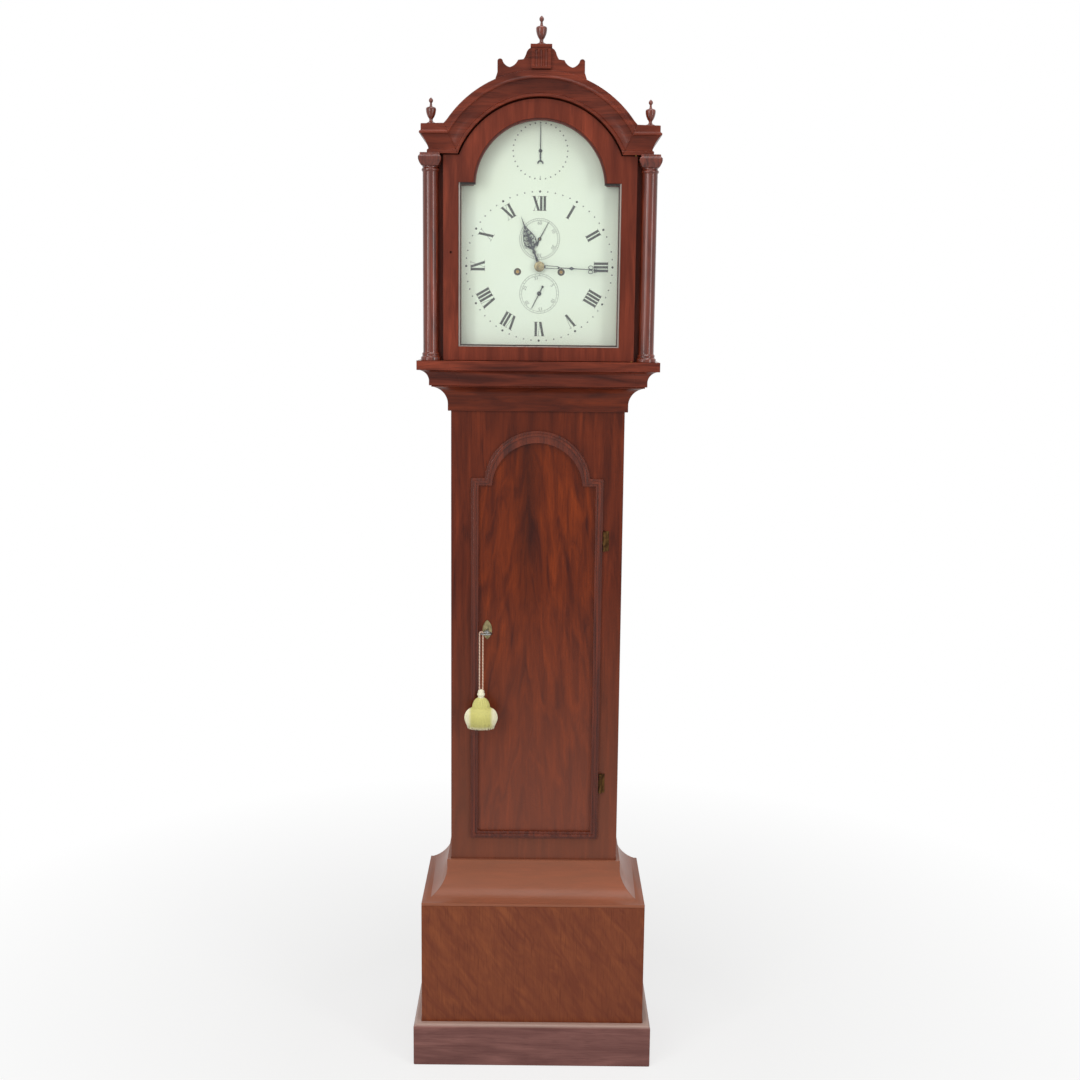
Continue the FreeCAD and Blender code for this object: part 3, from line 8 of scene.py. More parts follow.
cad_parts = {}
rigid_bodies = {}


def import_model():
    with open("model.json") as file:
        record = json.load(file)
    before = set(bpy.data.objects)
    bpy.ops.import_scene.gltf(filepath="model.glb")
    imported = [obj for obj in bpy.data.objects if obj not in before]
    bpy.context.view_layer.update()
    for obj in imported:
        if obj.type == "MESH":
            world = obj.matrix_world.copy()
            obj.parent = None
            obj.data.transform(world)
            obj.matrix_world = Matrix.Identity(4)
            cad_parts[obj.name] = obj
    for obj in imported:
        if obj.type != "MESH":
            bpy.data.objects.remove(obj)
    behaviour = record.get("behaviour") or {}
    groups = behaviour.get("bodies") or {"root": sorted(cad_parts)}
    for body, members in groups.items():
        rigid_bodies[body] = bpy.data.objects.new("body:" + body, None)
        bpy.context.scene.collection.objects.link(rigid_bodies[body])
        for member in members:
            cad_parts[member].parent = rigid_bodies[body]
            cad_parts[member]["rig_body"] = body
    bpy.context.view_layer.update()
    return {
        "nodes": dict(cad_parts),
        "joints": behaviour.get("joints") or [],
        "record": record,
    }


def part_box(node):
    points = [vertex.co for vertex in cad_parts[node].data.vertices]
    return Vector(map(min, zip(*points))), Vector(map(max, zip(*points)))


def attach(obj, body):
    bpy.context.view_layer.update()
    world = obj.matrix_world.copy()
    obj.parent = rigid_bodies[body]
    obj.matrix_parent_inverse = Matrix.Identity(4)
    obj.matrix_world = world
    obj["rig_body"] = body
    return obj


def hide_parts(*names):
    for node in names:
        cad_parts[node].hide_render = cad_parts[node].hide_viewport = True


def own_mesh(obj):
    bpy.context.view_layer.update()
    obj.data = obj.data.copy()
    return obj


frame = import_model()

bl_info = {
    "name": "Longcase clock",
    "version": (1, 0, 0),
    "blender": (4, 5, 0),
    "location": "3D View > Sidebar > Clock",
    "description": "Finishes the wood, dial, hands, tassel and stage of a longcase clock",
    "category": "Object",
}

JOINTS = {joint["name"]: joint for joint in frame["joints"]}
SLOTS = {part["node"]: part["material_slot"] for part in frame["record"]["subparts"]}
MM = 0.001
UPRIGHT = Matrix.Rotation(math.radians(90), 4, "X")

CASE_NODES = ("base_panels", "case_mouldings", "trunk_sides", "trunk_front_frame", "plinth")
HOOD_NODES = ("hood_base", "hood_case", "hood_mask", "hood_arch_board", "hood_cornice", "hood_columns",
              "cresting", "hood_door_frame", "hood_door_bead")


def linear(code):
    """An sRGB hex colour as linear red, green, blue and alpha."""
    parts = [int(code[start:start + 2], 16) / 255 for start in (1, 3, 5)]
    curved = [part / 12.92 if part <= 0.04045 else ((part + 0.055) / 1.055) ** 2.4 for part in parts]
    return (*curved, 1.0)


def joint_place(name):
    return Vector(JOINTS[name]["pos_m"])


DIAL_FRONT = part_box("dial_plate")[0].y
DIAL_PLACE = Vector((0, DIAL_FRONT, joint_place("centre_turn").z))


def length(name, description, default):
    """Setting for a length in metres."""
    return bpy.props.FloatProperty(name=name, description=description, default=default, unit="LENGTH")


def tone(name, description, code):
    """Setting for a colour, given as sRGB hex."""
    return bpy.props.FloatVectorProperty(name=name, description=description, subtype="COLOR", size=4,
                                         default=linear(code))


class ClockSizes(bpy.types.PropertyGroup):
    """Sizes that a user may change."""

    wood_edge: length("Wood edge", "Width of the worn edge on the wood", 0.0012)
    bead_edge: length("Bead edge", "Width of the worn edge on thin mouldings", 0.0006)
    numeral_inner: length("Numeral foot", "Radius of the hour numerals' feet", 0.105)
    numeral_outer: length("Numeral head", "Radius of the hour numerals' heads", 0.1325)
    thick_stroke: length("Thick stroke", "Width of the numerals' thick strokes", 0.0048)
    hairline: length("Hairline", "Width of the numerals' thin strokes", 0.0006)
    minute_ring: length("Minute ring", "Radius of the ring of minute dots", 0.141)
    seconds_ring: length("Seconds ring", "Radius of the seconds ring", 0.039)
    date_ring: length("Date ring", "Radius of the date ring", 0.038)
    selector_ring: length("Selector ring", "Radius of the dotted ring in the arch", 0.052)
    paint_rise: length("Paint rise", "How far the painted marks stand off the dial", 0.00015)
    lens: bpy.props.FloatProperty(
        name="Lens", description="Focal length of the camera in millimetres", default=45.38)
    key_power: bpy.props.FloatProperty(
        name="Key light", description="Power of the large lamp in front", default=29, unit="POWER")


class ClockColours(bpy.types.PropertyGroup):
    """Colours that a user may change."""

    case_dark: tone("Case dark", "Dark tone of the case's mahogany", "#3E1207")
    case_light: tone("Case light", "Light tone of the case's mahogany", "#80351A")
    door_dark: tone("Door dark", "Dark tone of the trunk door", "#411207")
    door_light: tone("Door light", "Light tone of the trunk door", "#863612")
    hood_dark: tone("Hood dark", "Dark tone of the hood's mahogany", "#521E11")
    hood_light: tone("Hood light", "Light tone of the hood's mahogany", "#90402A")
    base_dark: tone("Base dark", "Dark tone of the base's veneer", "#6E3523")
    base_light: tone("Base light", "Light tone of the base's veneer", "#92502F")
    plinth_dark: tone("Plinth dark", "Dark tone of the plinth", "#623A36")
    plinth_light: tone("Plinth light", "Light tone of the plinth", "#9A6961")
    dial: tone("Dial", "Ground colour of the painted dial", "#E0EDDB")
    ink: tone("Numerals", "Colour of the painted numerals", "#1D211F")
    faint_ink: tone("Fine marks", "Colour of the fine rings and small numbers", "#59615B")
    silk: tone("Tassel", "Main colour of the tassel's silk", "#D3CD78")
    silk_rim: tone("Tassel rim", "Pale colour of the tassel's outer threads", "#F6F1D2")
    cord: tone("Cord", "Colour of the tassel's cord", "#DDBBA4")


def add(tree, kind, values=None, links=None, **settings):
    """One node with its settings, its own values and what feeds it."""
    made = tree.nodes.new(kind)
    for key, value in settings.items():
        setattr(made, key, value)
    for socket, value in (values or {}).items():
        made.inputs[socket].default_value = value
    for socket, source in (links or {}).items():
        tree.links.new(source, made.inputs[socket])
    return made


def new_material(name):
    """Empty material: its tree, its shader and the place on the piece in metres."""
    material = bpy.data.materials.new(name)
    material.use_nodes = True
    tree = material.node_tree
    tree.nodes.clear()
    shader = add(tree, "ShaderNodeBsdfPrincipled")
    add(tree, "ShaderNodeOutputMaterial", links={"Surface": shader.outputs["BSDF"]})
    place = add(tree, "ShaderNodeTexCoord").outputs["Object"]
    return material, tree, shader, place


def calculate(tree, operation, *terms):
    """Result of a sum whose terms are sockets or plain numbers."""
    made = add(tree, "ShaderNodeMath", operation=operation)
    for index, term in enumerate(terms):
        if isinstance(term, bpy.types.NodeSocket):
            tree.links.new(term, made.inputs[index])
        else:
            made.inputs[index].default_value = term
    return made.outputs[0]


def aside_from(tree, across, middle):
    """Distance to either side of a middle plane."""
    return calculate(tree, "ABSOLUTE", calculate(tree, "SUBTRACT", across, middle))


def mottle(tree, place, cell, turn=0.0, detail=3.0, distortion=0.0):
    """Cloudy pattern whose cells have the given size in metres, turned about Y."""
    spot = add(tree, "ShaderNodeMapping", {"Rotation": (0, math.radians(turn), 0), "Scale": cell},
               {"Vector": place}, vector_type="TEXTURE")
    noise = add(tree, "ShaderNodeTexNoise", {"Scale": 1.0, "Detail": detail, "Distortion": distortion},
                {"Vector": spot.outputs["Vector"]})
    return noise.outputs["Fac"]


def spread(tree, source, low, high, to_low=0.0, to_high=1.0):
    ranged = add(tree, "ShaderNodeMapRange",
                 {"From Min": low, "From Max": high, "To Min": to_low, "To Max": to_high}, {"Value": source})
    return ranged.outputs["Result"]


def blend(tree, share, first, second):
    """Colour between two: each is a colour or a socket."""
    made = add(tree, "ShaderNodeMix", links={0: share}, data_type="RGBA")
    for socket, colour in ((6, first), (7, second)):
        if isinstance(colour, bpy.types.NodeSocket):
            tree.links.new(colour, made.inputs[socket])
        else:
            made.inputs[socket].default_value = colour
    return made.outputs[2]


def paled(tree, place, colour, glare_free_height, worn, tone, share=0.5):
    """Painted glare: colour that goes over to a paler tone from one height down to another."""
    # worn is the height where the painted glare is full.
    height = add(tree, "ShaderNodeSeparateXYZ", links={"Vector": place}).outputs["Z"]
    return blend(tree, spread(tree, height, worn, glare_free_height, share, 0.0), colour, tone)


def polished_wood(name, dark, light, along="Z", figure=(0.022, 0.2), turn=0.0, shine=(0.28, 0.42), coat=0.06,
                  glare_band=None):
    """Old French-polished mahogany: ribbon figure, darker streaks, fine pores, soft uneven gloss.

    The last argument, when given, paints glare: a height where there is none, one below it where it is full,
    and that paler tone.
    """
    material, tree, shader, place = new_material(name)
    across_mm = 3.2 * MM
    along_mm = 110 * MM
    pore_across = 1.1 * MM
    pore_along = 34 * MM

    def cell(across, length):
        return (length, length, across) if along == "X" else (across, across, length)

    ribbon = mottle(tree, place, cell(*figure), turn, 4.0, 1.1)
    streak = mottle(tree, place, cell(across_mm, along_mm), 0.0, 4.0)
    pore = mottle(tree, place, cell(pore_across, pore_along), 0.0, 2.0)
    cloud = mottle(tree, place, (0.16, 0.16, 0.3), 0.0, 2.0)
    deep = tuple(part * 0.45 for part in dark[:3]) + (1.0,)
    warm = blend(tree, spread(tree, ribbon, 0.24, 0.78), tuple(dark), tuple(light))
    streaked = blend(tree, spread(tree, streak, 0.46, 0.8, 0.0, 0.5), warm, tuple(dark))
    pored = blend(tree, spread(tree, pore, 0.56, 0.74, 0.0, 0.6), streaked, deep)
    toned = blend(tree, spread(tree, cloud, 0.35, 0.75, 0.0, 0.35), pored, tuple(dark))
    # Painted glare: the colour goes paler towards one height.
    if glare_band:
        toned = paled(tree, place, toned, *glare_band)
    tree.links.new(toned, shader.inputs["Base Color"])
    tree.links.new(spread(tree, cloud, 0.3, 0.7, shine[0], shine[1]), shader.inputs["Roughness"])
    bump = add(tree, "ShaderNodeBump", {"Strength": 0.07, "Distance": 0.0004}, {"Height": pore})
    tree.links.new(bump.outputs["Normal"], shader.inputs["Normal"])
    shader.inputs["IOR"].default_value = 1.5
    shader.inputs["Specular IOR Level"].default_value = 0.16
    shader.inputs["Coat Weight"].default_value = coat
    shader.inputs["Coat Roughness"].default_value = 0.16
    return material


def flamed_wood(name, dark, light, middle):
    """Crotch mahogany veneer: a plume that fans out from a dark upright heart."""
    material, tree, shader, place = new_material(name)
    parts = add(tree, "ShaderNodeSeparateXYZ", links={"Vector": place}).outputs
    wander = mottle(tree, place, (0.07, 0.07, 0.22), 0.0, 3.0, 0.8)
    aside = aside_from(tree, parts["X"], middle)
    sway = calculate(tree, "MULTIPLY", wander, 0.16)
    fan = calculate(tree, "MULTIPLY_ADD", aside, 2.6, parts["Z"])
    swept = calculate(tree, "ADD", fan, sway)
    plume_place = add(tree, "ShaderNodeCombineXYZ",
                      links={"X": parts["X"], "Y": parts["Y"], "Z": swept}).outputs[0]
    plume = mottle(tree, plume_place, (0.02, 0.02, 0.09), 0.0, 4.0, 0.7)
    streak = mottle(tree, place, (3.0 * MM, 3.0 * MM, 0.15), 0.0, 4.0)
    pore = mottle(tree, place, (1.1 * MM, 1.1 * MM, 30 * MM), 0.0, 2.0)
    deep = tuple(part * 0.4 for part in dark[:3]) + (1.0,)
    near = calculate(tree, "MULTIPLY_ADD", wander, 0.03, aside)
    heart = spread(tree, near, 0.012, 0.05, 0.75, 0.0)
    high = spread(tree, parts["Z"], 0.9, 1.15, 0.15, 1.0)
    dark_heart = calculate(tree, "MULTIPLY", heart, high)
    warm = blend(tree, spread(tree, plume, 0.26, 0.76), tuple(dark), tuple(light))
    streaked = blend(tree, spread(tree, streak, 0.46, 0.8, 0.0, 0.45), warm, tuple(dark))
    hearted = blend(tree, dark_heart, streaked, deep)
    pored = blend(tree, spread(tree, pore, 0.56, 0.74, 0.0, 0.5), hearted, deep)
    # The lower door is painted paler from 1.0 m down to 0.5 m, as glare.
    tree.links.new(paled(tree, place, pored, 1.0, 0.5, linear("#865040")), shader.inputs["Base Color"])
    tree.links.new(spread(tree, wander, 0.3, 0.7, 0.22, 0.36), shader.inputs["Roughness"])
    bump = add(tree, "ShaderNodeBump", {"Strength": 0.06, "Distance": 0.0004}, {"Height": pore})
    tree.links.new(bump.outputs["Normal"], shader.inputs["Normal"])
    shader.inputs["Specular IOR Level"].default_value = 0.16
    shader.inputs["Coat Weight"].default_value = 0.06
    shader.inputs["Coat Roughness"].default_value = 0.14
    return material


def sight_bead(name, wood, dark, pale, half, foot, shoulder):
    """Bead round the glass: black, with a painted pale highlight along its outer line up to the shoulder,
    plain wood above it.
    """
    material, tree, shader, place = new_material(name)
    parts = add(tree, "ShaderNodeSeparateXYZ", links={"Vector": place}).outputs
    aside = calculate(tree, "ABSOLUTE", parts["X"])
    beside = spread(tree, aside, half - 3.0 * MM, half - 2.4 * MM)
    below = spread(tree, parts["Z"], foot + 2.0 * MM, foot + 1.4 * MM)
    # Where the painted highlight runs: the outer edge of the sides and the foot.
    highlight_line = calculate(tree, "MAXIMUM", beside, below)
    patchiness = mottle(tree, place, (4 * MM, 4 * MM, 30 * MM))
    # Share of the painted highlight, broken into soft patches.
    worn = calculate(tree, "MULTIPLY", highlight_line, spread(tree, patchiness, 0.2, 0.5, 0.6, 1.0))
    straight = blend(tree, worn, dark, pale)
    above = spread(tree, parts["Z"], shoulder - 1 * MM, shoulder + 1 * MM)
    tree.links.new(blend(tree, above, straight, wood), shader.inputs["Base Color"])
    tree.links.new(spread(tree, patchiness, 0.3, 0.7, 0.25, 0.4), shader.inputs["Roughness"])
    return material


def bare_oak(name):
    """Unpolished oak boards: dull brown with open grain, seen only behind and inside."""
    material, tree, shader, place = new_material(name)
    grain = mottle(tree, place, (4 * MM, 4 * MM, 0.2), 0.0, 5.0)
    tone = blend(tree, spread(tree, grain, 0.35, 0.7), linear("#5C3F28"), linear("#8E6846"))
    tree.links.new(tone, shader.inputs["Base Color"])
    tree.links.new(spread(tree, grain, 0.3, 0.7, 0.6, 0.8), shader.inputs["Roughness"])
    return material


def metal(name, dark, light, cell, rough, lift=0.0):
    """Worked metal: tone and gloss drift a little with handling, in marks of the given size."""
    material, tree, shader, place = new_material(name)
    mark = mottle(tree, place, cell, 0.0, 4.0)
    tone = blend(tree, spread(tree, mark, 0.35, 0.7), linear(dark), linear(light))
    tree.links.new(tone, shader.inputs["Base Color"])
    tree.links.new(spread(tree, mark, 0.3, 0.7, rough[0], rough[1]), shader.inputs["Roughness"])
    shader.inputs["Metallic"].default_value = 1.0
    if lift:
        bump = add(tree, "ShaderNodeBump", {"Strength": lift, "Distance": 0.0006}, {"Height": mark})
        tree.links.new(bump.outputs["Normal"], shader.inputs["Normal"])
    return material


def paint(name, colour, other, cell, rough):
    """Oil paint on sheet iron: an even colour that has yellowed and dulled in soft patches."""
    material, tree, shader, place = new_material(name)
    patch = mottle(tree, place, cell, 0.0, 4.0)
    tree.links.new(blend(tree, spread(tree, patch, 0.35, 0.7), tuple(colour), tuple(other)),
                   shader.inputs["Base Color"])
    tree.links.new(spread(tree, patch, 0.3, 0.7, rough[0], rough[1]), shader.inputs["Roughness"])
    return material


def window_glass(name):
    """Old thin window glass: clear, with a very slight unevenness in its gloss."""
    material, tree, shader, place = new_material(name)
    wave = mottle(tree, place, (0.06, 0.06, 0.06), 0.0, 1.0)
    tree.links.new(spread(tree, wave, 0.3, 0.7, 0.02, 0.05), shader.inputs["Roughness"])
    shader.inputs["Base Color"].default_value = linear("#F4F8F4")
    shader.inputs["Alpha"].default_value = 0.06
    shader.inputs["IOR"].default_value = 1.5
    return material


def silk(name, inner, rim, middle, foot):
    """Silk fringe: soft sheen, fine upright threads, paler at the sides and the foot."""
    material, tree, shader, place = new_material(name)
    parts = add(tree, "ShaderNodeSeparateXYZ", links={"Vector": place}).outputs
    thread = mottle(tree, place, (1.0 * MM, 1.0 * MM, 18 * MM), 0.0, 2.0)
    aside = aside_from(tree, parts["X"], middle)
    ragged = calculate(tree, "MULTIPLY_ADD", thread, 0.006, aside)
    edge = spread(tree, ragged, 0.0215, 0.028)
    ends = spread(tree, parts["Z"], foot + 3.3 * MM, foot + 8.8 * MM, 0.8, 0.0)
    pale = calculate(tree, "MAXIMUM", edge, ends)
    ground = blend(tree, pale, tuple(inner), tuple(rim))
    shade = tuple(part * 0.55 for part in inner[:3]) + (1.0,)
    threaded = blend(tree, spread(tree, thread, 0.45, 0.75, 0.0, 0.45), ground, shade)
    tree.links.new(threaded, shader.inputs["Base Color"])
    bump = add(tree, "ShaderNodeBump", {"Strength": 0.35, "Distance": 0.0006}, {"Height": thread})
    tree.links.new(bump.outputs["Normal"], shader.inputs["Normal"])
    shader.inputs["Roughness"].default_value = 0.6
    shader.inputs["Sheen Weight"].default_value = 0.35
    return material


def twisted_strand(name, colour, other, pitch):
    """Twisted strand: slanting light and dark turns along its length."""
    material, tree, shader, place = new_material(name)
    wave = add(tree, "ShaderNodeTexWave", {"Scale": 0.314 / pitch, "Distortion": 0.6, "Detail": 1.0},
               {"Vector": place}, wave_type="BANDS", bands_direction="DIAGONAL")
    tree.links.new(blend(tree, spread(tree, wave.outputs["Fac"], 0.2, 0.8), tuple(colour), tuple(other)),
                   shader.inputs["Base Color"])
    bump = add(tree, "ShaderNodeBump", {"Strength": 0.4, "Distance": 0.0005}, {"Height": wave.outputs["Fac"]})
    tree.links.new(bump.outputs["Normal"], shader.inputs["Normal"])
    shader.inputs["Roughness"].default_value = 0.6
    return material


def deselect():
    if bpy.context.object and bpy.context.object.mode != "OBJECT":
        bpy.ops.object.mode_set(mode="OBJECT")
    bpy.ops.object.select_all(action="DESELECT")


def take(piece):
    """Only this piece is selected and active."""
    deselect()
    piece.select_set(True)
    bpy.context.view_layer.objects.active = piece
    return piece


def applied():
    """The piece just added, with its place and turn taken into its mesh."""
    bpy.ops.object.transform_apply(location=True, rotation=True, scale=True)
    return bpy.context.object


def join(pieces, name):
    take(pieces[0])
    for other in pieces[1:]:
        other.select_set(True)
    if len(pieces) > 1:
        bpy.ops.object.join()
    pieces[0].name = name
    return pieces[0]


def apply_modifier(piece, kind, **settings):
    take(piece)
    modifier = piece.modifiers.new(kind.title(), kind)
    for key, value in settings.items():
        setattr(modifier, key, value)
    bpy.ops.object.modifier_apply(modifier=modifier.name)


def finish_piece(piece, material, body, slot, *nodes):
    """Material, body and the nodes that the piece stands for; the slot argument is not used."""
    piece.data.materials.clear()
    piece.data.materials.append(material)
    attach(piece, body)
    if nodes:
        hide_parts(*nodes)
    return piece


def smooth(piece, degrees):
    take(piece)
    bpy.ops.object.shade_smooth_by_angle(angle=math.radians(degrees))


def worn_copy(node, material, edge):
    """Copy of a wooden node with its sharp edges softened, as handling leaves them."""
    source = frame["nodes"][node]
    piece = bpy.data.objects.new(node + "_worn", source.data.copy())
    bpy.context.scene.collection.objects.link(piece)
    take(piece)
    bpy.ops.mesh.customdata_custom_splitnormals_clear()
    bpy.ops.object.mode_set(mode="EDIT")
    bpy.ops.mesh.select_all(action="SELECT")
    bpy.ops.mesh.remove_doubles(threshold=0.00001)
    bpy.ops.mesh.dissolve_limited(angle_limit=math.radians(0.5))
    bpy.ops.object.mode_set(mode="OBJECT")
    apply_modifier(piece, "BEVEL", width=edge, segments=2, limit_method="ANGLE",
                   angle_limit=math.radians(38), use_clamp_overlap=True)
    smooth(piece, 40)
    apply_modifier(piece, "WEIGHTED_NORMAL", keep_sharp=True)
    return finish_piece(piece, material, source["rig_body"], SLOTS[node], node)


def dress_node(node, material):
    """A CAD node that shows as it is gets its finish."""
    mesh = frame["nodes"][node].data
    mesh.materials.clear()
    mesh.materials.append(material)


class CLOCK_OT_case(bpy.types.Operator):
    """Finish the base, trunk and back of the case"""

    bl_idname = "clock.case"
    bl_label = "Case"

    def execute(self, context):
        colours = context.scene.clock_colours
        edge = context.scene.clock_sizes.wood_edge
        # Paler tone of the glare painted on the lower trunk, from 1 m down to 0.45 m.
        pale = linear("#8B5541")
        upright = polished_wood("Mahogany, straight grain", colours.case_dark, colours.case_light,
                                glare_band=(1.0, 0.45, pale))
        # The lower cove is painted paler below 0.9 m, as glare.
        level = polished_wood("Mahogany, level grain", colours.case_dark, colours.case_light, "X",
                              (0.02, 0.12), 0.0, (0.28, 0.42), 0.1, (0.9, 0.5, linear("#B8775A"), 0.5))
        flecked = polished_wood("Mahogany veneer, flecked", colours.base_dark, colours.base_light, "Z",
                                (0.018, 0.07), -32.0, (0.3, 0.44), 0.05)
        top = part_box("plinth")[1].z
        # Its top edge is painted paler, as a highlight.
        plinth = polished_wood("Mahogany, worn plinth", colours.plinth_dark, colours.plinth_light, "X",
                               (0.03, 0.2), 0.0, (0.34, 0.5), 0.2,
                               (top - 6 * MM, top - 1.5 * MM, linear("#C2A698"), 0.7))
        chosen = {"plinth": plinth, "base_panels": flecked, "case_mouldings": level}
        for node in CASE_NODES:
            worn_copy(node, chosen.get(node, upright), 2 * edge if node == "plinth" else edge)
        oak = bare_oak("Oak, unpolished")
        for node in ("backboard", "inner_boards"):
            dress_node(node, oak)
        return {"FINISHED"}


class CLOCK_OT_trunk_door(bpy.types.Operator):
    """Finish the trunk door and its moulding"""

    bl_idname = "clock.trunk_door"
    bl_label = "Trunk door"

    def execute(self, context):
        colours = context.scene.clock_colours
        sizes = context.scene.clock_sizes
        worn_copy("trunk_door", flamed_wood("Crotch mahogany", colours.door_dark, colours.door_light, -0.02),
                  sizes.wood_edge)
        moulding = polished_wood("Mahogany, door moulding", colours.case_dark, colours.case_light, "Z",
                                 (0.01, 0.2), 0.0, (0.22, 0.34), 0.4)
        worn_copy("trunk_door_moulding", moulding, sizes.bead_edge)
        return {"FINISHED"}


class CLOCK_OT_hood(bpy.types.Operator):
    """Finish the hood, its columns, mouldings, finials and door"""

    bl_idname = "clock.hood"
    bl_label = "Hood"

    def execute(self, context):
        colours = context.scene.clock_colours
        sizes = context.scene.clock_sizes
        plain = polished_wood("Mahogany, hood", colours.hood_dark, colours.hood_light)
        level = polished_wood("Mahogany, hood mouldings", colours.case_dark, colours.hood_light, "X",
                              (0.018, 0.14), 0.0, (0.24, 0.36), 0.1)
        turned = polished_wood("Mahogany, turned", colours.case_dark, colours.hood_light, "Z",
                               (0.008, 0.12), 0.0, (0.14, 0.22), 0.7)
        foot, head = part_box("hood_door_bead")
        rails = frame["nodes"]["hood_door_bead"].data.vertices
        shoulder = max(corner.co.z for corner in rails if corner.co.x > head.x - 1 * MM)
        # The pale tone is the bead's painted highlight; the near-black is the ebonised bead.
        bead = sight_bead("Ebonised bead", tuple(colours.hood_dark), linear("#1A100D"), linear("#B9AFA6"),
                          head.x, foot.z, shoulder)
        chosen = {"hood_columns": turned, "hood_cornice": level, "hood_base": level, "cresting": level,
                  "hood_door_bead": bead}
        for node in HOOD_NODES:
            edge = sizes.bead_edge if node in ("hood_door_bead", "cresting") else sizes.wood_edge
            worn_copy(node, chosen.get(node, plain), edge)
        self.finials(turned)
        self.shoulders(level)
        dress_node("hood_door_glass", window_glass("Thin window glass"))
        return {"FINISHED"}

    def finials(self, wood):
        """Three turned urns, each with a ball on a thin neck, given in shares of their height."""
        foot = ((0.0, 0.17), (0.05, 0.17), (0.08, 0.1), (0.14, 0.065), (0.2, 0.075))
        urn = ((0.26, 0.12), (0.36, 0.165), (0.46, 0.19), (0.56, 0.2), (0.61, 0.19), (0.635, 0.15))
        neck = ((0.66, 0.07), (0.7, 0.05), (0.78, 0.04), (0.815, 0.05))
        ball = ((0.84, 0.075), (0.88, 0.085), (0.92, 0.08), (0.96, 0.055), (1.0, 0.015))
        corners = [corner.co for corner in frame["nodes"]["finials"].data.vertices]
        urns = []
        for side in (-1, 0, 1):
            near = [corner for corner in corners if round(corner.x / 0.2) == side]
            low = min(corner.z for corner in near)
            tall = max(corner.z for corner in near) - low
            deep = (min(corner.y for corner in near) + max(corner.y for corner in near)) / 2
            across = (min(corner.x for corner in near) + max(corner.x for corner in near)) / 2
            rings = [(low + tall * up, tall * out) for up, out in foot + urn + neck + ball]
            urns.append(turned_body(rings, across, deep, 1.0, 32))
        piece = join(urns, "finials_turned")
        smooth(piece, 50)
        finish_piece(piece, wood, frame["nodes"]["finials"]["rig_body"], SLOTS["finials"], "finials")

    def shoulders(self, wood):
        """Curved shoulders that carry the cresting up to the cap of its block."""
        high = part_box("cresting")[1]
        cap = high.z / MM
        curve = ((17, -30), (35, -29), (31, -23), (28.6, -18), (27, -13), (24.5, -9), (21, -6.2), (17, -6.2))
        sides = [[(side * across, cap + up) for across, up in curve] for side in (-1, 1)]
        piece = cut_sheet(sides, 13 * MM)
        piece.data.transform(Matrix.Translation((0, high.y - 7 * MM, 0)))
        piece.name = "cresting_shoulders"
        apply_modifier(piece, "BEVEL", width=0.6 * MM, segments=2, limit_method="ANGLE")
        finish_piece(piece, wood, frame["nodes"]["cresting"]["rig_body"], SLOTS["cresting"])


def stroke(foot, head, width):
    """Painted stroke with level ends between two places in the dial's plane."""
    bpy.ops.mesh.primitive_plane_add(size=1, rotation=(math.radians(90), 0, 0))
    plane = applied()
    for corner in plane.data.vertices:
        end = head if corner.co.z > 0 else foot
        side = math.copysign(width / 2, corner.co.x)
        corner.co = (end[0] + side, 0, end[1])
    return plane


def letter(strokes, name):
    return join([stroke(foot, head, width) for foot, head, width in strokes], name)


def stamp(pattern, places, name):
    """Copies of one small mesh at many places, as one piece."""
    gathered = bmesh.new()
    for place in places:
        mesh = pattern.data.copy()
        mesh.transform(place)
        gathered.from_mesh(mesh)
        bpy.data.meshes.remove(mesh)
    mesh = bpy.data.meshes.new(name)
    gathered.to_mesh(mesh)
    gathered.free()
    piece = bpy.data.objects.new(name, mesh)
    bpy.context.scene.collection.objects.link(piece)
    return piece


def discard(*pieces):
    for piece in pieces:
        bpy.data.objects.remove(piece)


def dot(radius, sides):
    """Round painted dot in the dial's plane, about the origin."""
    deselect()
    bpy.ops.mesh.primitive_circle_add(vertices=sides, radius=radius, fill_type="NGON",
                                      rotation=(math.radians(90), 0, 0))
    return applied()


def line_ring(radius, width, sides=96):
    """Thin painted circle in the dial's plane, about the origin."""
    deselect()
    bpy.ops.mesh.primitive_circle_add(vertices=sides, radius=radius, fill_type="NOTHING",
                                      rotation=(math.radians(90), 0, 0))
    ring = applied()
    bpy.ops.object.mode_set(mode="EDIT")
    bpy.ops.mesh.select_all(action="SELECT")
    bpy.ops.mesh.extrude_edges_move()
    share = 1 - width / radius
    bpy.ops.transform.resize(value=(share, share, share), center_override=(0, 0, 0))
    bpy.ops.mesh.select_all(action="SELECT")
    bpy.ops.mesh.normals_make_consistent(inside=False)
    bpy.ops.object.mode_set(mode="OBJECT")
    if ring.data.polygons[0].normal.y > 0:
        ring.data.flip_normals()
    return ring


def around(centre, radius, turn):
    """Place at a radius and clockwise turn in degrees about a centre on the dial, top outwards."""
    return (Matrix.Translation(centre) @ Matrix.Rotation(math.radians(turn), 4, "Y")
            @ Matrix.Translation((0, 0, radius)))


def number_piece(text, height):
    """Small painted number, upright about the origin in the dial's plane."""
    deselect()
    bpy.ops.object.text_add()
    piece = bpy.context.object
    piece.data.body = text
    piece.data.size = height / 0.72
    piece.data.align_x = "CENTER"
    piece.data.align_y = "CENTER"
    bpy.ops.object.convert(target="MESH")
    piece = bpy.context.object
    piece.data.transform(UPRIGHT)
    return piece


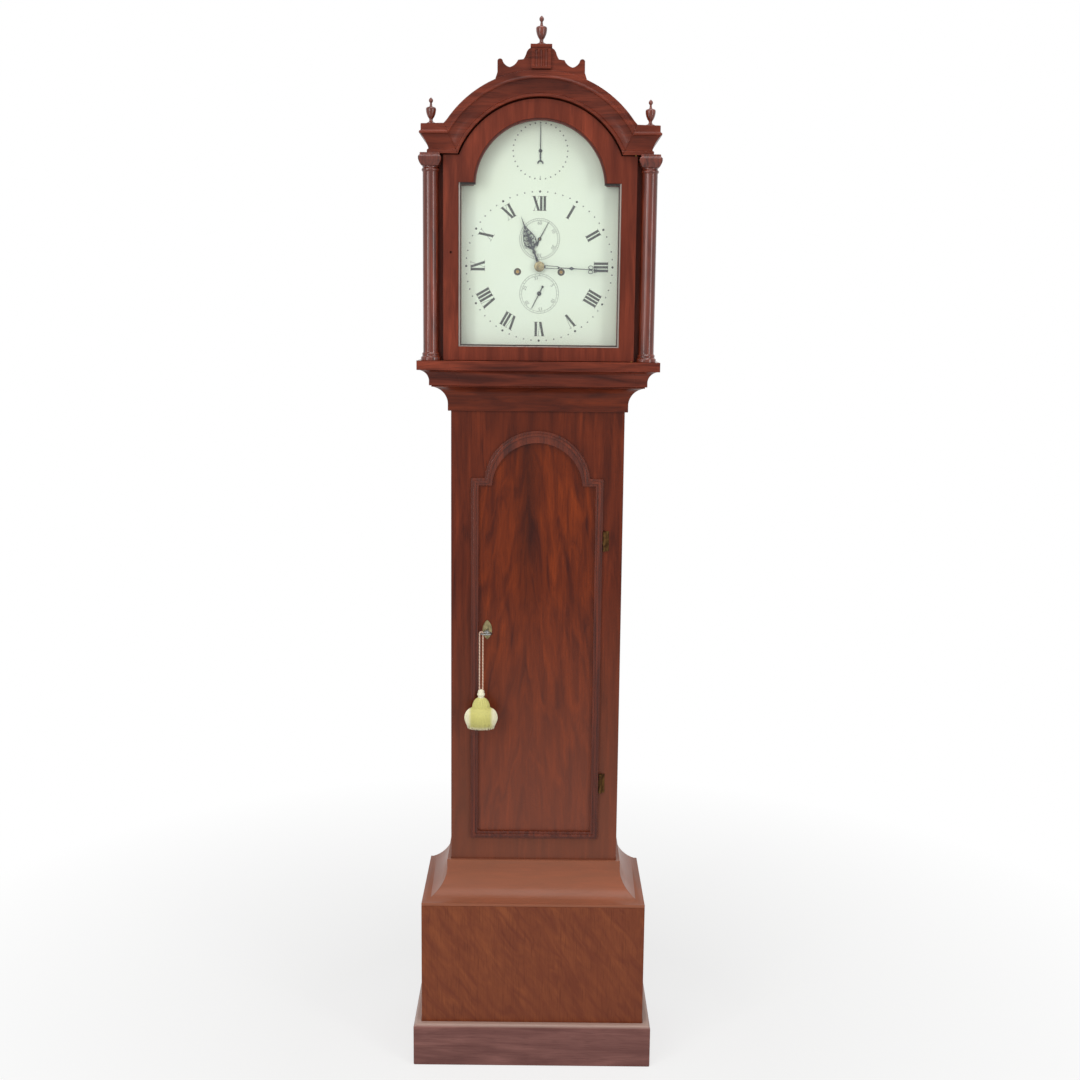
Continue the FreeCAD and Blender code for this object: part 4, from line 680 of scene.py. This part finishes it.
class CLOCK_OT_dial(bpy.types.Operator):
    """Paint the dial: numerals, minute dots and the three small rings"""

    bl_idname = "clock.dial"
    bl_label = "Dial"

    def execute(self, context):
        sizes = context.scene.clock_sizes
        colours = context.scene.clock_colours
        yellowed = tuple(part * tint for part, tint in zip(colours.dial[:3], (0.97, 0.965, 0.93))) + (1.0,)
        dress_node("dial_plate", paint("Painted iron, dial white", colours.dial, yellowed,
                                       (0.12, 0.12, 0.12), (0.35, 0.5)))
        ink = paint("Black oil paint", colours.ink, linear("#3A3F3C"), (0.012, 0.012, 0.012), (0.4, 0.6))
        faint = paint("Thin grey paint", colours.faint_ink, linear("#7C847D"), (0.008, 0.008, 0.008),
                      (0.5, 0.6))
        front = Vector((0, -sizes.paint_rise, 0))
        centre = DIAL_PLACE + front
        hours = [30 * hour for hour in range(12)]
        black = self.numerals(sizes, centre)
        black.append(self.dotted(centre, sizes.minute_ring, hours, 2.2 * MM, 14, "hour_dots"))
        finish_piece(join(black, "dial_numerals"), ink, "case", "dial_paint")
        minutes = [6 * minute for minute in range(60) if minute % 5]
        fine = [self.dotted(centre, sizes.minute_ring, minutes, 1.45 * MM, 10, "minute_dots")]
        fine += self.small_ring(joint_place("escape_turn"), sizes.seconds_ring, 60,
                                [str(number) for number in range(10, 70, 10)], 60.0, centre)
        dates = ["5", "10", "15", "20", "25", "31"]
        fine += self.small_ring(joint_place("date_hand_turn"), sizes.date_ring, 31, dates, 360 / 31 * 5,
                                centre)
        fine += self.arch_ring(sizes, centre)
        finish_piece(join(fine, "dial_fine_marks"), faint, "case", "dial_paint")
        self.winding_rims(ink)
        return {"FINISHED"}

    def numerals(self, sizes, centre):
        """Twelve hour numerals, thick and thin, their heads outwards."""
        top = (sizes.numeral_outer - sizes.numeral_inner) / 2
        thick = sizes.thick_stroke
        thin = sizes.hairline

        def head_serif(x, width):
            return (x, top - thin), (x, top), width

        def foot_serif(x, width):
            return (x, -top), (x, thin - top), width

        one = letter([((0, -top), (0, top), thick), head_serif(0, thick * 1.75), foot_serif(0, thick * 1.75)],
                     "one")
        wide = 4.6 * MM
        five = letter([((0.6 * MM, -top), (-wide, top), thick), ((1.4 * MM, -top), (wide, top), thin),
                       head_serif(-wide, thick * 1.7), head_serif(wide, thick)], "five")
        ten = letter([((wide, -top), (-wide, top), thick), ((-wide, -top), (wide, top), thin),
                      head_serif(-wide, thick * 1.7), head_serif(wide, thick),
                      foot_serif(wide, thick * 1.7), foot_serif(-wide, thick)], "ten")
        advance = {"I": 6.8 * MM, "V": 11.6 * MM, "X": 11.6 * MM}
        middle = (sizes.numeral_outer + sizes.numeral_inner) / 2
        places = {"I": [], "V": [], "X": []}
        words = ("I", "II", "III", "IIII", "V", "VI", "VII", "VIII", "IX", "X", "XI", "XII")
        for hour, word in enumerate(words, 1):
            across = -sum(advance[mark] for mark in word) / 2
            for mark in word:
                across += advance[mark] / 2
                places[mark].append(around(centre, middle, 30 * hour) @ Matrix.Translation((across, 0, 0)))
                across += advance[mark] / 2
        made = [stamp(pattern, places[mark], "numerals_" + mark)
                for mark, pattern in (("I", one), ("V", five), ("X", ten))]
        discard(one, five, ten)
        return made

    def dotted(self, centre, radius, turns, dot_radius, sides, name):
        """Ring of painted dots at the given turns in degrees."""
        round_dot = dot(dot_radius, sides)
        made = stamp(round_dot, [around(centre, radius, turn) for turn in turns], name)
        discard(round_dot)
        return made

    def small_ring(self, pivot, radius, ticks, numbers, step, centre):
        """Two fine circles with ticks between them and numbers inside."""
        place = Vector((pivot.x, centre.y, pivot.z))
        made = []
        for share in (1.0, 0.9):
            ring = line_ring(radius * share, 0.6 * MM)
            ring.data.transform(Matrix.Translation(place))
            made.append(ring)
        tick = stroke((0, -radius * 0.05), (0, radius * 0.05), 0.4 * MM)
        turns = [360 / ticks * count for count in range(ticks)]
        made.append(stamp(tick, [around(place, radius * 0.95, turn) for turn in turns], "ring_ticks"))
        discard(tick)
        for count, text in enumerate(numbers, 1):
            piece = number_piece(text, 6.2 * MM)
            piece.data.transform(around(place, radius * 0.77, step * count))
            made.append(piece)
        return made

    def arch_ring(self, sizes, centre):
        """Dotted ring in the arch, with plain ticks where its two settings are."""
        pivot = joint_place("selector_hand_turn")
        place = Vector((pivot.x, centre.y, pivot.z))
        turns = [11.25 * count for count in range(32)]
        made = [self.dotted(place, sizes.selector_ring, turns, 1.5 * MM, 10, "arch_dots")]
        tick = stroke((0, -2 * MM), (0, 2 * MM), 1.1 * MM)
        spots = [around(place, sizes.selector_ring - 4 * MM, turn) for turn in (0, 180)]
        made.append(stamp(tick, spots, "arch_ticks"))
        discard(tick)
        return made

    def winding_rims(self, ink):
        """Slim rims round the two winding holes, and black rings inside them as painted shade."""
        rims = []
        for name in ("going_barrel_wind", "strike_barrel_wind"):
            pivot = joint_place(name)
            deselect()
            bpy.ops.mesh.primitive_torus_add(location=(pivot.x, DIAL_FRONT, pivot.z), major_radius=6.5 * MM,
                                             minor_radius=0.5 * MM, major_segments=40, minor_segments=10,
                                             rotation=(math.radians(90), 0, 0))
            rims.append(applied())
        rim = join(rims, "winding_rims")
        smooth(rim, 60)
        finish_piece(rim, metal_finish("Brass, tarnished"), "case", "brass")
        # Black rings just behind the dial's face: painted shade inside the winding holes.
        hole_shade_rings = []
        for name in ("going_barrel_wind", "strike_barrel_wind"):
            pivot = joint_place(name)
            hole_shade_ring = line_ring(6.2 * MM, 2.9 * MM, 40)
            hole_shade_ring.data.transform(Matrix.Translation((pivot.x, DIAL_FRONT + 0.3 * MM, pivot.z)))
            hole_shade_rings.append(hole_shade_ring)
        finish_piece(join(hole_shade_rings, "winding_hole_shade"), ink, "case", "dial_paint")


METALS = {
    # warm, softly glossy
    "Brass, lacquered": ("#8F6B2F", "#C9A15A", (0.01, 0.01, 0.02), (0.24, 0.4)),
    # greyed by air and handling
    "Brass, greyed": ("#6E6448", "#A89C74", (0.006, 0.006, 0.01), (0.34, 0.5)),
    # gone brown, nearly as dark as the wood
    "Brass, tarnished": ("#3A2718", "#6B4E2C", (0.006, 0.006, 0.012), (0.35, 0.5)),
    # bright and plain
    "Steel, polished": ("#6E6E6C", "#A5A5A2", (0.006, 0.006, 0.03), (0.24, 0.38)),
}


def metal_finish(name):
    """A metal of the list above, made once."""
    return bpy.data.materials.get(name) or metal(name, *METALS[name])


def rounded(points, steps=5):
    """Closed smooth line through the given places."""
    count = len(points)
    line = []
    for index in range(count):
        before, start, end, after = (Vector(points[(index + shift) % count]) for shift in (-1, 0, 1, 2))
        for step in range(steps):
            share = step / steps
            line.append(0.5 * (2 * start + (end - before) * share
                               + (2 * before - 5 * start + 4 * end - after) * share ** 2
                               + (3 * start - before - 3 * end + after) * share ** 3))
    return line


def oval(x, z, wide, tall, sides=24):
    turns = [2 * math.pi * count / sides for count in range(sides)]
    return [Vector((x + wide * math.cos(turn), z + tall * math.sin(turn))) for turn in turns]


def mirrored_outline(right):
    return [Vector(point) for point in right] + [Vector((-x, z)) for x, z in reversed(right)]


def cut_sheet(outlines, thick):
    """Flat sheet cut to outlines in millimetres; an outline inside another is a hole."""
    curve = bpy.data.curves.new("sheet", "CURVE")
    curve.dimensions = "2D"
    curve.fill_mode = "BOTH"
    curve.extrude = thick / 2
    for outline in outlines:
        spline = curve.splines.new("POLY")
        spline.points.add(len(outline) - 1)
        for point, place in zip(spline.points, outline):
            point.co = (place[0] * MM, place[1] * MM, 0, 1)
        spline.use_cyclic_u = True
    sheet = bpy.data.objects.new("sheet", curve)
    bpy.context.scene.collection.objects.link(sheet)
    take(sheet)
    bpy.ops.object.convert(target="MESH")
    sheet = bpy.context.object
    sheet.data.transform(UPRIGHT)
    return sheet


class CLOCK_OT_hands(bpy.types.Operator):
    """Cut the five hands from thin steel and set them on their arbors"""

    bl_idname = "clock.hands"
    bl_label = "Hands"

    def execute(self, context):
        blued = metal("Steel, blued", "#23262C", "#4A5058", (0.004, 0.004, 0.004), (0.3, 0.45))
        thick = 0.9 * MM
        self.set_hand("hour", self.hour_hand(thick), "centre_turn", -21, blued)
        self.set_hand("minute", self.minute_hand(thick), "centre_turn", 93, blued)
        self.set_hand("seconds", self.seconds_hand(thick), "escape_turn", 28, blued)
        self.set_hand("date", self.date_hand(thick), "date_hand_turn", 207, blued)
        self.set_hand("selector", self.selector_hand(thick), "selector_hand_turn", 0, blued)
        self.collet()
        return {"FINISHED"}

    def set_hand(self, kind, sheets, joint, turn, material):
        """Turn a hand to its time, put it at its level and hand it to its body."""
        node = kind + "_hand"
        low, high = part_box(node)
        if kind == "minute":
            level = high.y - 0.5 * MM
        elif kind == "hour":
            level = (low.y + high.y) / 2
        else:
            level = low.y + 0.5 * MM
        pivot = joint_place(joint)
        hand = join(sheets, node + "_cut")
        hand.data.transform(Matrix.Translation((pivot.x, level, pivot.z))
                            @ Matrix.Rotation(math.radians(turn), 4, "Y"))
        finish_piece(hand, material, frame["nodes"][node]["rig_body"], "blued_steel", node)

    def hour_hand(self, thick):
        right = [(2.4, 6), (1.7, 24), (3.4, 29), (1.9, 34), (6.5, 39), (11.6, 46), (12.2, 54), (10.2, 62),
                 (7, 69), (3.6, 76), (1.5, 82), (0.9, 89), (0.3, 99)]
        blade = [rounded(mirrored_outline(right), 4)]
        for side in (-1, 1):
            blade += [oval(side * 6.6, 48.5, 3.6, 4.4), oval(side * 2.6, 43.6, 1.3, 2.6),
                      oval(side * 5.6, 58.6, 3.6, 3.9), oval(side * 9.5, 53.4, 1.2, 2.2, 12),
                      oval(side * 3.6, 67.2, 2.2, 3.0), oval(side * 1.6, 74, 0.8, 2.2, 12)]
        curls = [cut_sheet([oval(side * x, z, radius, radius, 14)], thick)
                 for side in (-1, 1) for x, z, radius in ((5.6, 47, 1.5), (4.8, 57.4, 1.4), (3.2, 66.4, 0.9))]
        stays = [cut_sheet([[(side, z), (side * 5, z + 0.6), (side * 5, z + 1.4), (side, z + 1)]], thick)
                 for side in (-1, 1) for z in (46.4, 56.8)]
        hub = cut_sheet([oval(0, 0, 7, 7)], thick)
        return [cut_sheet(blade, thick), hub] + curls + stays

    def minute_hand(self, thick):
        bar = [Vector(place) for place in ((-3.1, 6), (3.1, 6), (2.7, 36), (0, 41), (-2.7, 36))]
        slot = [Vector(place) for place in ((-1.9, 12), (1.9, 12), (1.6, 34), (0, 37), (-1.6, 34))]
        shaft = mirrored_outline([(0.8, 36), (0.8, 57), (3.4, 62), (0.8, 67), (0.7, 90), (0.7, 112),
                                  (1.5, 118), (0.25, 132)])
        loops = []
        for side in (-1, 1):
            loops.append(cut_sheet([oval(side * 4.2, 99, 3.9, 5), oval(side * 4.2, 99, 2.7, 3.8)], thick))
            loops.append(cut_sheet([oval(side * 2.9, 108, 2.6, 3.2), oval(side * 2.9, 108, 1.6, 2.2)], thick))
        hub = cut_sheet([oval(0, 0, 8, 8)], thick)
        return [cut_sheet([bar, slot], thick), cut_sheet([shaft], thick), hub] + loops

    def seconds_hand(self, thick):
        blade = mirrored_outline([(3.4, -14), (2.4, -9), (1, -3), (0.9, 3), (0.35, 36)])
        return [cut_sheet([blade], thick), cut_sheet([oval(0, 0, 3.4, 3.4)], thick)]

    def date_hand(self, thick):
        blade = mirrored_outline([(0.9, -14), (0.9, 0), (0.35, 32)])
        knob = cut_sheet([oval(0, -14.5, 2.3, 2.3)], thick)
        return [cut_sheet([blade], thick), cut_sheet([oval(0, 0, 4.2, 4.2)], thick), knob]

    def selector_hand(self, thick):
        blade = mirrored_outline([(0.9, -19), (1.6, -8), (1, -4), (0.9, 4), (0.35, 47)])
        diamond = mirrored_outline([(0.1, -5.4), (4, 0), (0.1, 5.4)])
        outer = oval(0, -22.5, 6, 5.4)
        crescent = [place for place in outer if place.y > -24.5]
        crescent.sort(key=lambda place: place.x)
        inner = [Vector((place.x * 0.62, -25.4 + (place.y + 25.4) * 0.62)) for place in reversed(crescent)]
        return [cut_sheet([blade], thick), cut_sheet([diamond], thick), cut_sheet([crescent + inner], thick)]

    def collet(self):
        """Domed brass collet that holds the minute hand on its arbor."""
        pivot = joint_place("centre_turn")
        low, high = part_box("minute_hand")
        base = high.y - 1.0 * MM
        deselect()
        bpy.ops.mesh.primitive_uv_sphere_add(segments=40, ring_count=20, radius=10 * MM,
                                             rotation=(math.radians(90), 0, 0))
        dome = applied()
        bpy.ops.object.mode_set(mode="EDIT")
        bpy.ops.mesh.select_all(action="SELECT")
        bpy.ops.mesh.bisect(plane_co=(0, 0, 0), plane_no=(0, 1, 0), clear_outer=True, use_fill=True)
        bpy.ops.object.mode_set(mode="OBJECT")
        flat = (base - low.y) / (10 * MM)
        dome.data.transform(Matrix.Translation((pivot.x, base, pivot.z)) @ Matrix.Diagonal((1, flat, 1, 1)))
        dome.name = "minute_hand_collet"
        smooth(dome, 50)
        finish_piece(dome, metal_finish("Brass, greyed"), "centre", "brass", "minute_hand")


def turned_body(rings, x, y, share, sides):
    """Closed body of stacked rings: each is a height and a half width, and share flattens it in depth."""
    deselect()
    first_z, first_r = rings[0]
    bpy.ops.mesh.primitive_circle_add(vertices=sides, radius=first_r, fill_type="NGON",
                                      location=(x, y, first_z))
    body = applied()
    bpy.ops.object.mode_set(mode="EDIT")
    bpy.ops.mesh.select_all(action="SELECT")
    for (old_z, old_r), (new_z, new_r) in zip(rings, rings[1:]):
        bpy.ops.mesh.extrude_region_move(TRANSFORM_OT_translate={"value": (0, 0, new_z - old_z)})
        grow = new_r / old_r
        bpy.ops.transform.resize(value=(grow, grow, 1), center_override=(x, y, new_z))
    bpy.ops.mesh.select_mode(type="EDGE")
    bpy.ops.mesh.select_all(action="DESELECT")
    bpy.ops.mesh.select_non_manifold()
    bpy.ops.mesh.edge_face_add()
    bpy.ops.mesh.select_all(action="SELECT")
    bpy.ops.mesh.normals_make_consistent(inside=False)
    bpy.ops.mesh.select_mode(type="VERT")
    bpy.ops.object.mode_set(mode="OBJECT")
    for vertex in body.data.vertices:
        vertex.co.y = y + (vertex.co.y - y) * share
    return body


def rib(body, x, y, share, count, depth):
    """Upright ribs pressed into a turned body."""
    for vertex in body.data.vertices:
        away_x = vertex.co.x - x
        away_y = (vertex.co.y - y) / share
        turn = math.atan2(away_y, away_x)
        grow = 1 - depth * (0.5 + 0.5 * math.cos(count * turn))
        vertex.co.x = x + away_x * grow
        vertex.co.y = y + away_y * grow * share


def lowered(start, steps):
    """Rings below a start, each given as a drop and a half width in millimetres."""
    return [(start - drop * MM, half * MM) for drop, half in steps]


class CLOCK_OT_tassel(bpy.types.Operator):
    """Model the key's tassel and hang it on its doubled cord"""

    bl_idname = "clock.tassel"
    bl_label = "Tassel"

    def execute(self, context):
        colours = context.scene.clock_colours
        low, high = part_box("tassel")
        x = (low.x + high.x) / 2
        y = (low.y + high.y) / 2
        top = high.z
        foot = low.z
        thread = silk("Silk fringe", colours.silk, colours.silk_rim, x, foot)
        cream = silk("Silk, cream", colours.silk_rim, colours.silk_rim, x, foot)
        finish_piece(self.neck(x, y, top), cream, "tassel", "tassel_silk", "tassel")
        for piece in (self.head(x, y, top), self.skirt(x, y, top, foot), self.fringe(x, y, foot)):
            finish_piece(piece, thread, "tassel", "tassel_silk", "tassel")
        self.cord(colours, x, y, top)
        return {"FINISHED"}

    def neck(self, x, y, top):
        """Bound bead under the cord."""
        rings = lowered(top, ((0, 3.6), (1.5, 5.4), (4, 6.6), (6, 6.2), (8, 7.6), (11, 8), (13.5, 6.4),
                              (15, 5.6), (18, 6.4)))
        body = turned_body(rings, x, y, 0.9, 48)
        rib(body, x, y, 0.9, 16, 0.05)
        body.name = "tassel_neck"
        smooth(body, 60)
        return body

    def head(self, x, y, top):
        """Ribbed dome with a scalloped lower edge."""
        start = top - 16 * MM
        rings = lowered(start, ((0, 4), (1, 7.5), (4, 11.5), (9, 15), (15, 17.4), (21, 18.4), (26, 18.6),
                                (28, 17.2), (28, 12)))
        body = turned_body(rings, x, y, 0.75, 160)
        rib(body, x, y, 0.75, 20, 0.07)
        for vertex in body.data.vertices:
            turn = math.atan2((vertex.co.y - y) / 0.75, vertex.co.x - x)
            low_share = max(0.0, (start - 16 * MM - vertex.co.z) / (12 * MM))
            vertex.co.z -= low_share * 2.2 * MM * abs(math.cos(5 * turn))
        body.name = "tassel_head"
        smooth(body, 70)
        return body

    def skirt(self, x, y, top, foot):
        """Full round fringe of threads, drawn in a little at its foot."""
        start = top - 36 * MM
        rings = lowered(start, ((0, 13), (2, 20), (6, 26.5), (11, 30.6), (17, 33), (22, 33.6), (27, 33),
                                (32, 31), (37, 27.8)))
        rings += lowered(foot, ((-4.5, 25.5), (-2, 20), (-1.6, 8)))
        body = turned_body(rings, x, y, 0.7, 288)
        rib(body, x, y, 0.7, 72, 0.045)
        body.name = "tassel_skirt"
        smooth(body, 70)
        return body

    def fringe(self, x, y, foot):
        """Loose thread ends round the foot of the skirt."""
        deselect()
        bpy.ops.mesh.primitive_cone_add(vertices=5, radius1=0.55 * MM, radius2=0.75 * MM, depth=13 * MM)
        thread = applied()
        places = []
        count = 108
        for index in range(count):
            turn = 2 * math.pi * index / count
            lean = 0.3 + 0.14 * math.sin(index * 2.4)
            radius = (27.4 + 0.9 * math.sin(index * 1.7)) * MM
            lift = 7.6 * MM + 0.8 * MM * math.sin(index * 3.1)
            spot = Vector((x + radius * math.cos(turn), y + 0.7 * radius * math.sin(turn), foot + lift))
            axis = Vector((-math.sin(turn), math.cos(turn), 0))
            places.append(Matrix.Translation(spot) @ Matrix.Rotation(lean, 4, axis))
        made = stamp(thread, places, "tassel_fringe")
        discard(thread)
        smooth(made, 80)
        return made

    def cord(self, colours, x, y, top):
        """Doubled cord from the neck up, over the key's bow and down again."""
        low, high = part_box("tassel_cord")
        diameter = high.y - low.y
        gap = (high.x - low.x - diameter) / 2
        turn_z = high.z - diameter / 2 - gap
        path = [(x - gap, y, top + share * (turn_z - top)) for share in (0, 0.2, 0.4, 0.6, 0.8, 0.95)]
        arc = [math.pi * (1 - count / 12) for count in range(13)]
        path += [(x + gap * math.cos(turn), y, turn_z + gap * math.sin(turn)) for turn in arc]
        path += [(x + gap, y, top + share * (turn_z - top)) for share in (0.95, 0.8, 0.6, 0.4, 0.2, 0)]
        curve = bpy.data.curves.new("tassel_cord_line", "CURVE")
        curve.dimensions = "3D"
        curve.bevel_depth = diameter / 2
        curve.bevel_resolution = 4
        curve.resolution_u = 6
        spline = curve.splines.new("NURBS")
        spline.points.add(len(path) - 1)
        for point, place in zip(spline.points, path):
            point.co = (*place, 1)
        spline.order_u = 3
        spline.use_endpoint_u = True
        piece = bpy.data.objects.new("tassel_cord_line", curve)
        bpy.context.scene.collection.objects.link(piece)
        dull = tuple(part * 0.72 for part in colours.cord[:3]) + (1.0,)
        finish_piece(piece, twisted_strand("Silk cord, twisted", colours.cord, dull, 3.2 * MM), "tassel",
                     "cord_silk", "tassel_cord")


class CLOCK_OT_movement(bpy.types.Operator):
    """Finish the movement, weights, lines, pendulum and brass fittings"""

    bl_idname = "clock.movement"
    bl_label = "Movement"

    def execute(self, context):
        brass = metal_finish("Brass, lacquered")
        steel = metal_finish("Steel, polished")
        iron = metal("Cast iron, rough", "#1C1B1A", "#34312E", (0.004, 0.004, 0.004), (0.55, 0.75), 0.3)
        for node, slot in SLOTS.items():
            if node.startswith("trunk_hinge"):
                dress_node(node, metal_finish("Brass, tarnished"))
            elif node == "trunk_lock":
                dress_node(node, metal_finish("Brass, greyed"))
            elif slot == "brass":
                dress_node(node, brass)
            elif slot == "steel":
                dress_node(node, steel)
            elif slot == "weight_iron":
                dress_node(node, iron)
        gut = twisted_strand("Gut line, twisted", linear("#9C7544"), linear("#6E4F2B"), 2.4 * MM)
        for side, name in ((1, "going"), (-1, "strike")):
            self.gut_line(name, side, gut)
        return {"FINISHED"}

    def gut_line(self, name, side, material):
        """Two straight runs of one line: from the barrel to the pulley and back to the seat board."""
        low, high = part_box(name + "_line")
        outer = max(abs(low.x), abs(high.x)) - 1 * MM
        inner = min(abs(low.x), abs(high.x)) + 1 * MM
        y = (low.y + high.y) / 2
        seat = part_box("inner_boards")[1].z - 18 * MM
        for run, x, top in (("drop", outer, high.z), ("tied", inner, seat)):
            deselect()
            bpy.ops.mesh.primitive_cylinder_add(vertices=12, radius=1 * MM, depth=top - low.z,
                                                location=(side * x, y, (top + low.z) / 2))
            piece = applied()
            piece.name = f"{name}_line_{run}"
            smooth(piece, 60)
            finish_piece(piece, material, "case", "gut", name + "_line")
            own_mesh(piece)


# each lamp's name, place, target, width and height in metres, and power in watts
SIDE_LAMPS = (
    ("Right lamp", (2.3, -2.2, 1.9), (0, 0, 1.1), (0.7, 2.2), 17),
    ("Left strip", (-1.5, -1.6, 1.7), (0, 0, 1.5), (0.22, 2.0), 9),
    ("Right strip", (1.5, -1.6, 1.7), (0, 0, 1.5), (0.22, 2.0), 4),
    ("Top lamp", (0.2, -0.8, 3.6), (0, 0, 1.0), (1.8, 1.8), 31),
)
CAMERA_PLACE = (0.0066, -2.7421, 1.5320)
CAMERA_TILT = math.radians(80.7047)
CAMERA_ROLL = math.radians(0.5823)


def seen_share(tree):
    """1 for the camera, for reflections and for a view through glass, 0 for light."""
    path = add(tree, "ShaderNodeLightPath").outputs
    mirrored = calculate(tree, "MAXIMUM", path["Is Camera Ray"], path["Is Glossy Ray"])
    return calculate(tree, "MAXIMUM", mirrored, path["Is Transmission Ray"])


class CLOCK_OT_stage(bpy.types.Operator):
    """Set the floor, background, lamps and camera"""

    bl_idname = "clock.stage"
    bl_label = "Stage"

    def execute(self, context):
        scene = context.scene
        scene.view_settings.view_transform = "Standard"
        self.floor()
        self.background(scene)
        self.lamp("Front lamp", (-1.7, -2.9, 2.5), (0, 0, 1.1), (1.6, 2.2), scene.clock_sizes.key_power)
        for lamp in SIDE_LAMPS:
            self.lamp(*lamp)
        self.camera(scene)
        return {"FINISHED"}

    def floor(self):
        """Plain pale floor that keeps the shadow."""
        deselect()
        bpy.ops.mesh.primitive_plane_add(size=40, location=(0, 0, 0))
        floor = bpy.context.object
        floor.name = "floor"
        material = bpy.data.materials.new("Pale floor")
        material.use_nodes = True
        tree = material.node_tree
        tree.nodes.clear()
        matt = add(tree, "ShaderNodeBsdfDiffuse", {"Color": linear("#EDEDEB")})
        white = add(tree, "ShaderNodeEmission", {"Color": (1, 1, 1, 1), "Strength": 1.0})
        spot = add(tree, "ShaderNodeTexCoord").outputs["Object"]
        away = add(tree, "ShaderNodeVectorMath", links={0: spot}, operation="LENGTH").outputs["Value"]
        plain = spread(tree, away, 0.5, 1.7, 0.7, 1.0)
        share = calculate(tree, "MULTIPLY", seen_share(tree), plain)
        mixed = add(tree, "ShaderNodeMixShader", links={0: share, 1: matt.outputs[0], 2: white.outputs[0]})
        add(tree, "ShaderNodeOutputMaterial", links={"Surface": mixed.outputs[0]})
        floor.data.materials.append(material)

    def background(self, scene):
        """White behind the clock and in its reflections, a soft grey as light."""
        world = bpy.data.worlds.new("Studio")
        scene.world = world
        world.use_nodes = True
        tree = world.node_tree
        tree.nodes.clear()
        light = add(tree, "ShaderNodeBackground", {"Color": (1, 1, 1, 1), "Strength": 0.34})
        white = add(tree, "ShaderNodeBackground", {"Color": (1, 1, 1, 1), "Strength": 1.0})
        mixed = add(tree, "ShaderNodeMixShader",
                    links={0: seen_share(tree), 1: light.outputs[0], 2: white.outputs[0]})
        add(tree, "ShaderNodeOutputWorld", links={"Surface": mixed.outputs[0]})

    def lamp(self, name, place, target, size, power):
        data = bpy.data.lights.new(name, "AREA")
        data.shape = "RECTANGLE"
        data.size = size[0]
        data.size_y = size[1]
        data.energy = power
        lamp = bpy.data.objects.new(name, data)
        bpy.context.scene.collection.objects.link(lamp)
        lamp.location = place
        lamp.rotation_euler = (Vector(target) - Vector(place)).to_track_quat("-Z", "Y").to_euler()

    def camera(self, scene):
        data = bpy.data.cameras.new("Camera")
        data.lens = scene.clock_sizes.lens
        data.sensor_width = 36
        camera = bpy.data.objects.new("Camera", data)
        scene.collection.objects.link(camera)
        camera.matrix_world = (Matrix.Translation(CAMERA_PLACE) @ Matrix.Rotation(CAMERA_TILT, 4, "X")
                               @ Matrix.Rotation(CAMERA_ROLL, 4, "Z"))
        scene.camera = camera


OPERATORS = (CLOCK_OT_case, CLOCK_OT_trunk_door, CLOCK_OT_hood, CLOCK_OT_movement, CLOCK_OT_dial,
             CLOCK_OT_hands, CLOCK_OT_tassel, CLOCK_OT_stage)


class CLOCK_PT_panel(bpy.types.Panel):
    """Lists the steps and their sizes"""

    bl_idname = "CLOCK_PT_panel"
    bl_label = "Longcase clock"
    bl_space_type = "VIEW_3D"
    bl_region_type = "UI"
    bl_category = "Clock"

    def draw(self, context):
        for operator in OPERATORS:
            self.layout.operator(operator.bl_idname)
        for group in (context.scene.clock_sizes, context.scene.clock_colours):
            for name in group.__annotations__:
                self.layout.prop(group, name)


CLASSES = (ClockSizes, ClockColours) + OPERATORS + (CLOCK_PT_panel,)


def register():
    for kind in CLASSES:
        bpy.utils.register_class(kind)
    bpy.types.Scene.clock_sizes = bpy.props.PointerProperty(type=ClockSizes)
    bpy.types.Scene.clock_colours = bpy.props.PointerProperty(type=ClockColours)


def unregister():
    del bpy.types.Scene.clock_colours
    del bpy.types.Scene.clock_sizes
    for kind in reversed(CLASSES):
        bpy.utils.unregister_class(kind)


def main():
    register()
    bpy.ops.clock.case()
    bpy.ops.clock.trunk_door()
    bpy.ops.clock.hood()
    bpy.ops.clock.movement()
    bpy.ops.clock.dial()
    bpy.ops.clock.hands()
    bpy.ops.clock.tassel()
    bpy.ops.clock.stage()


if __name__ == "__main__":
    main()
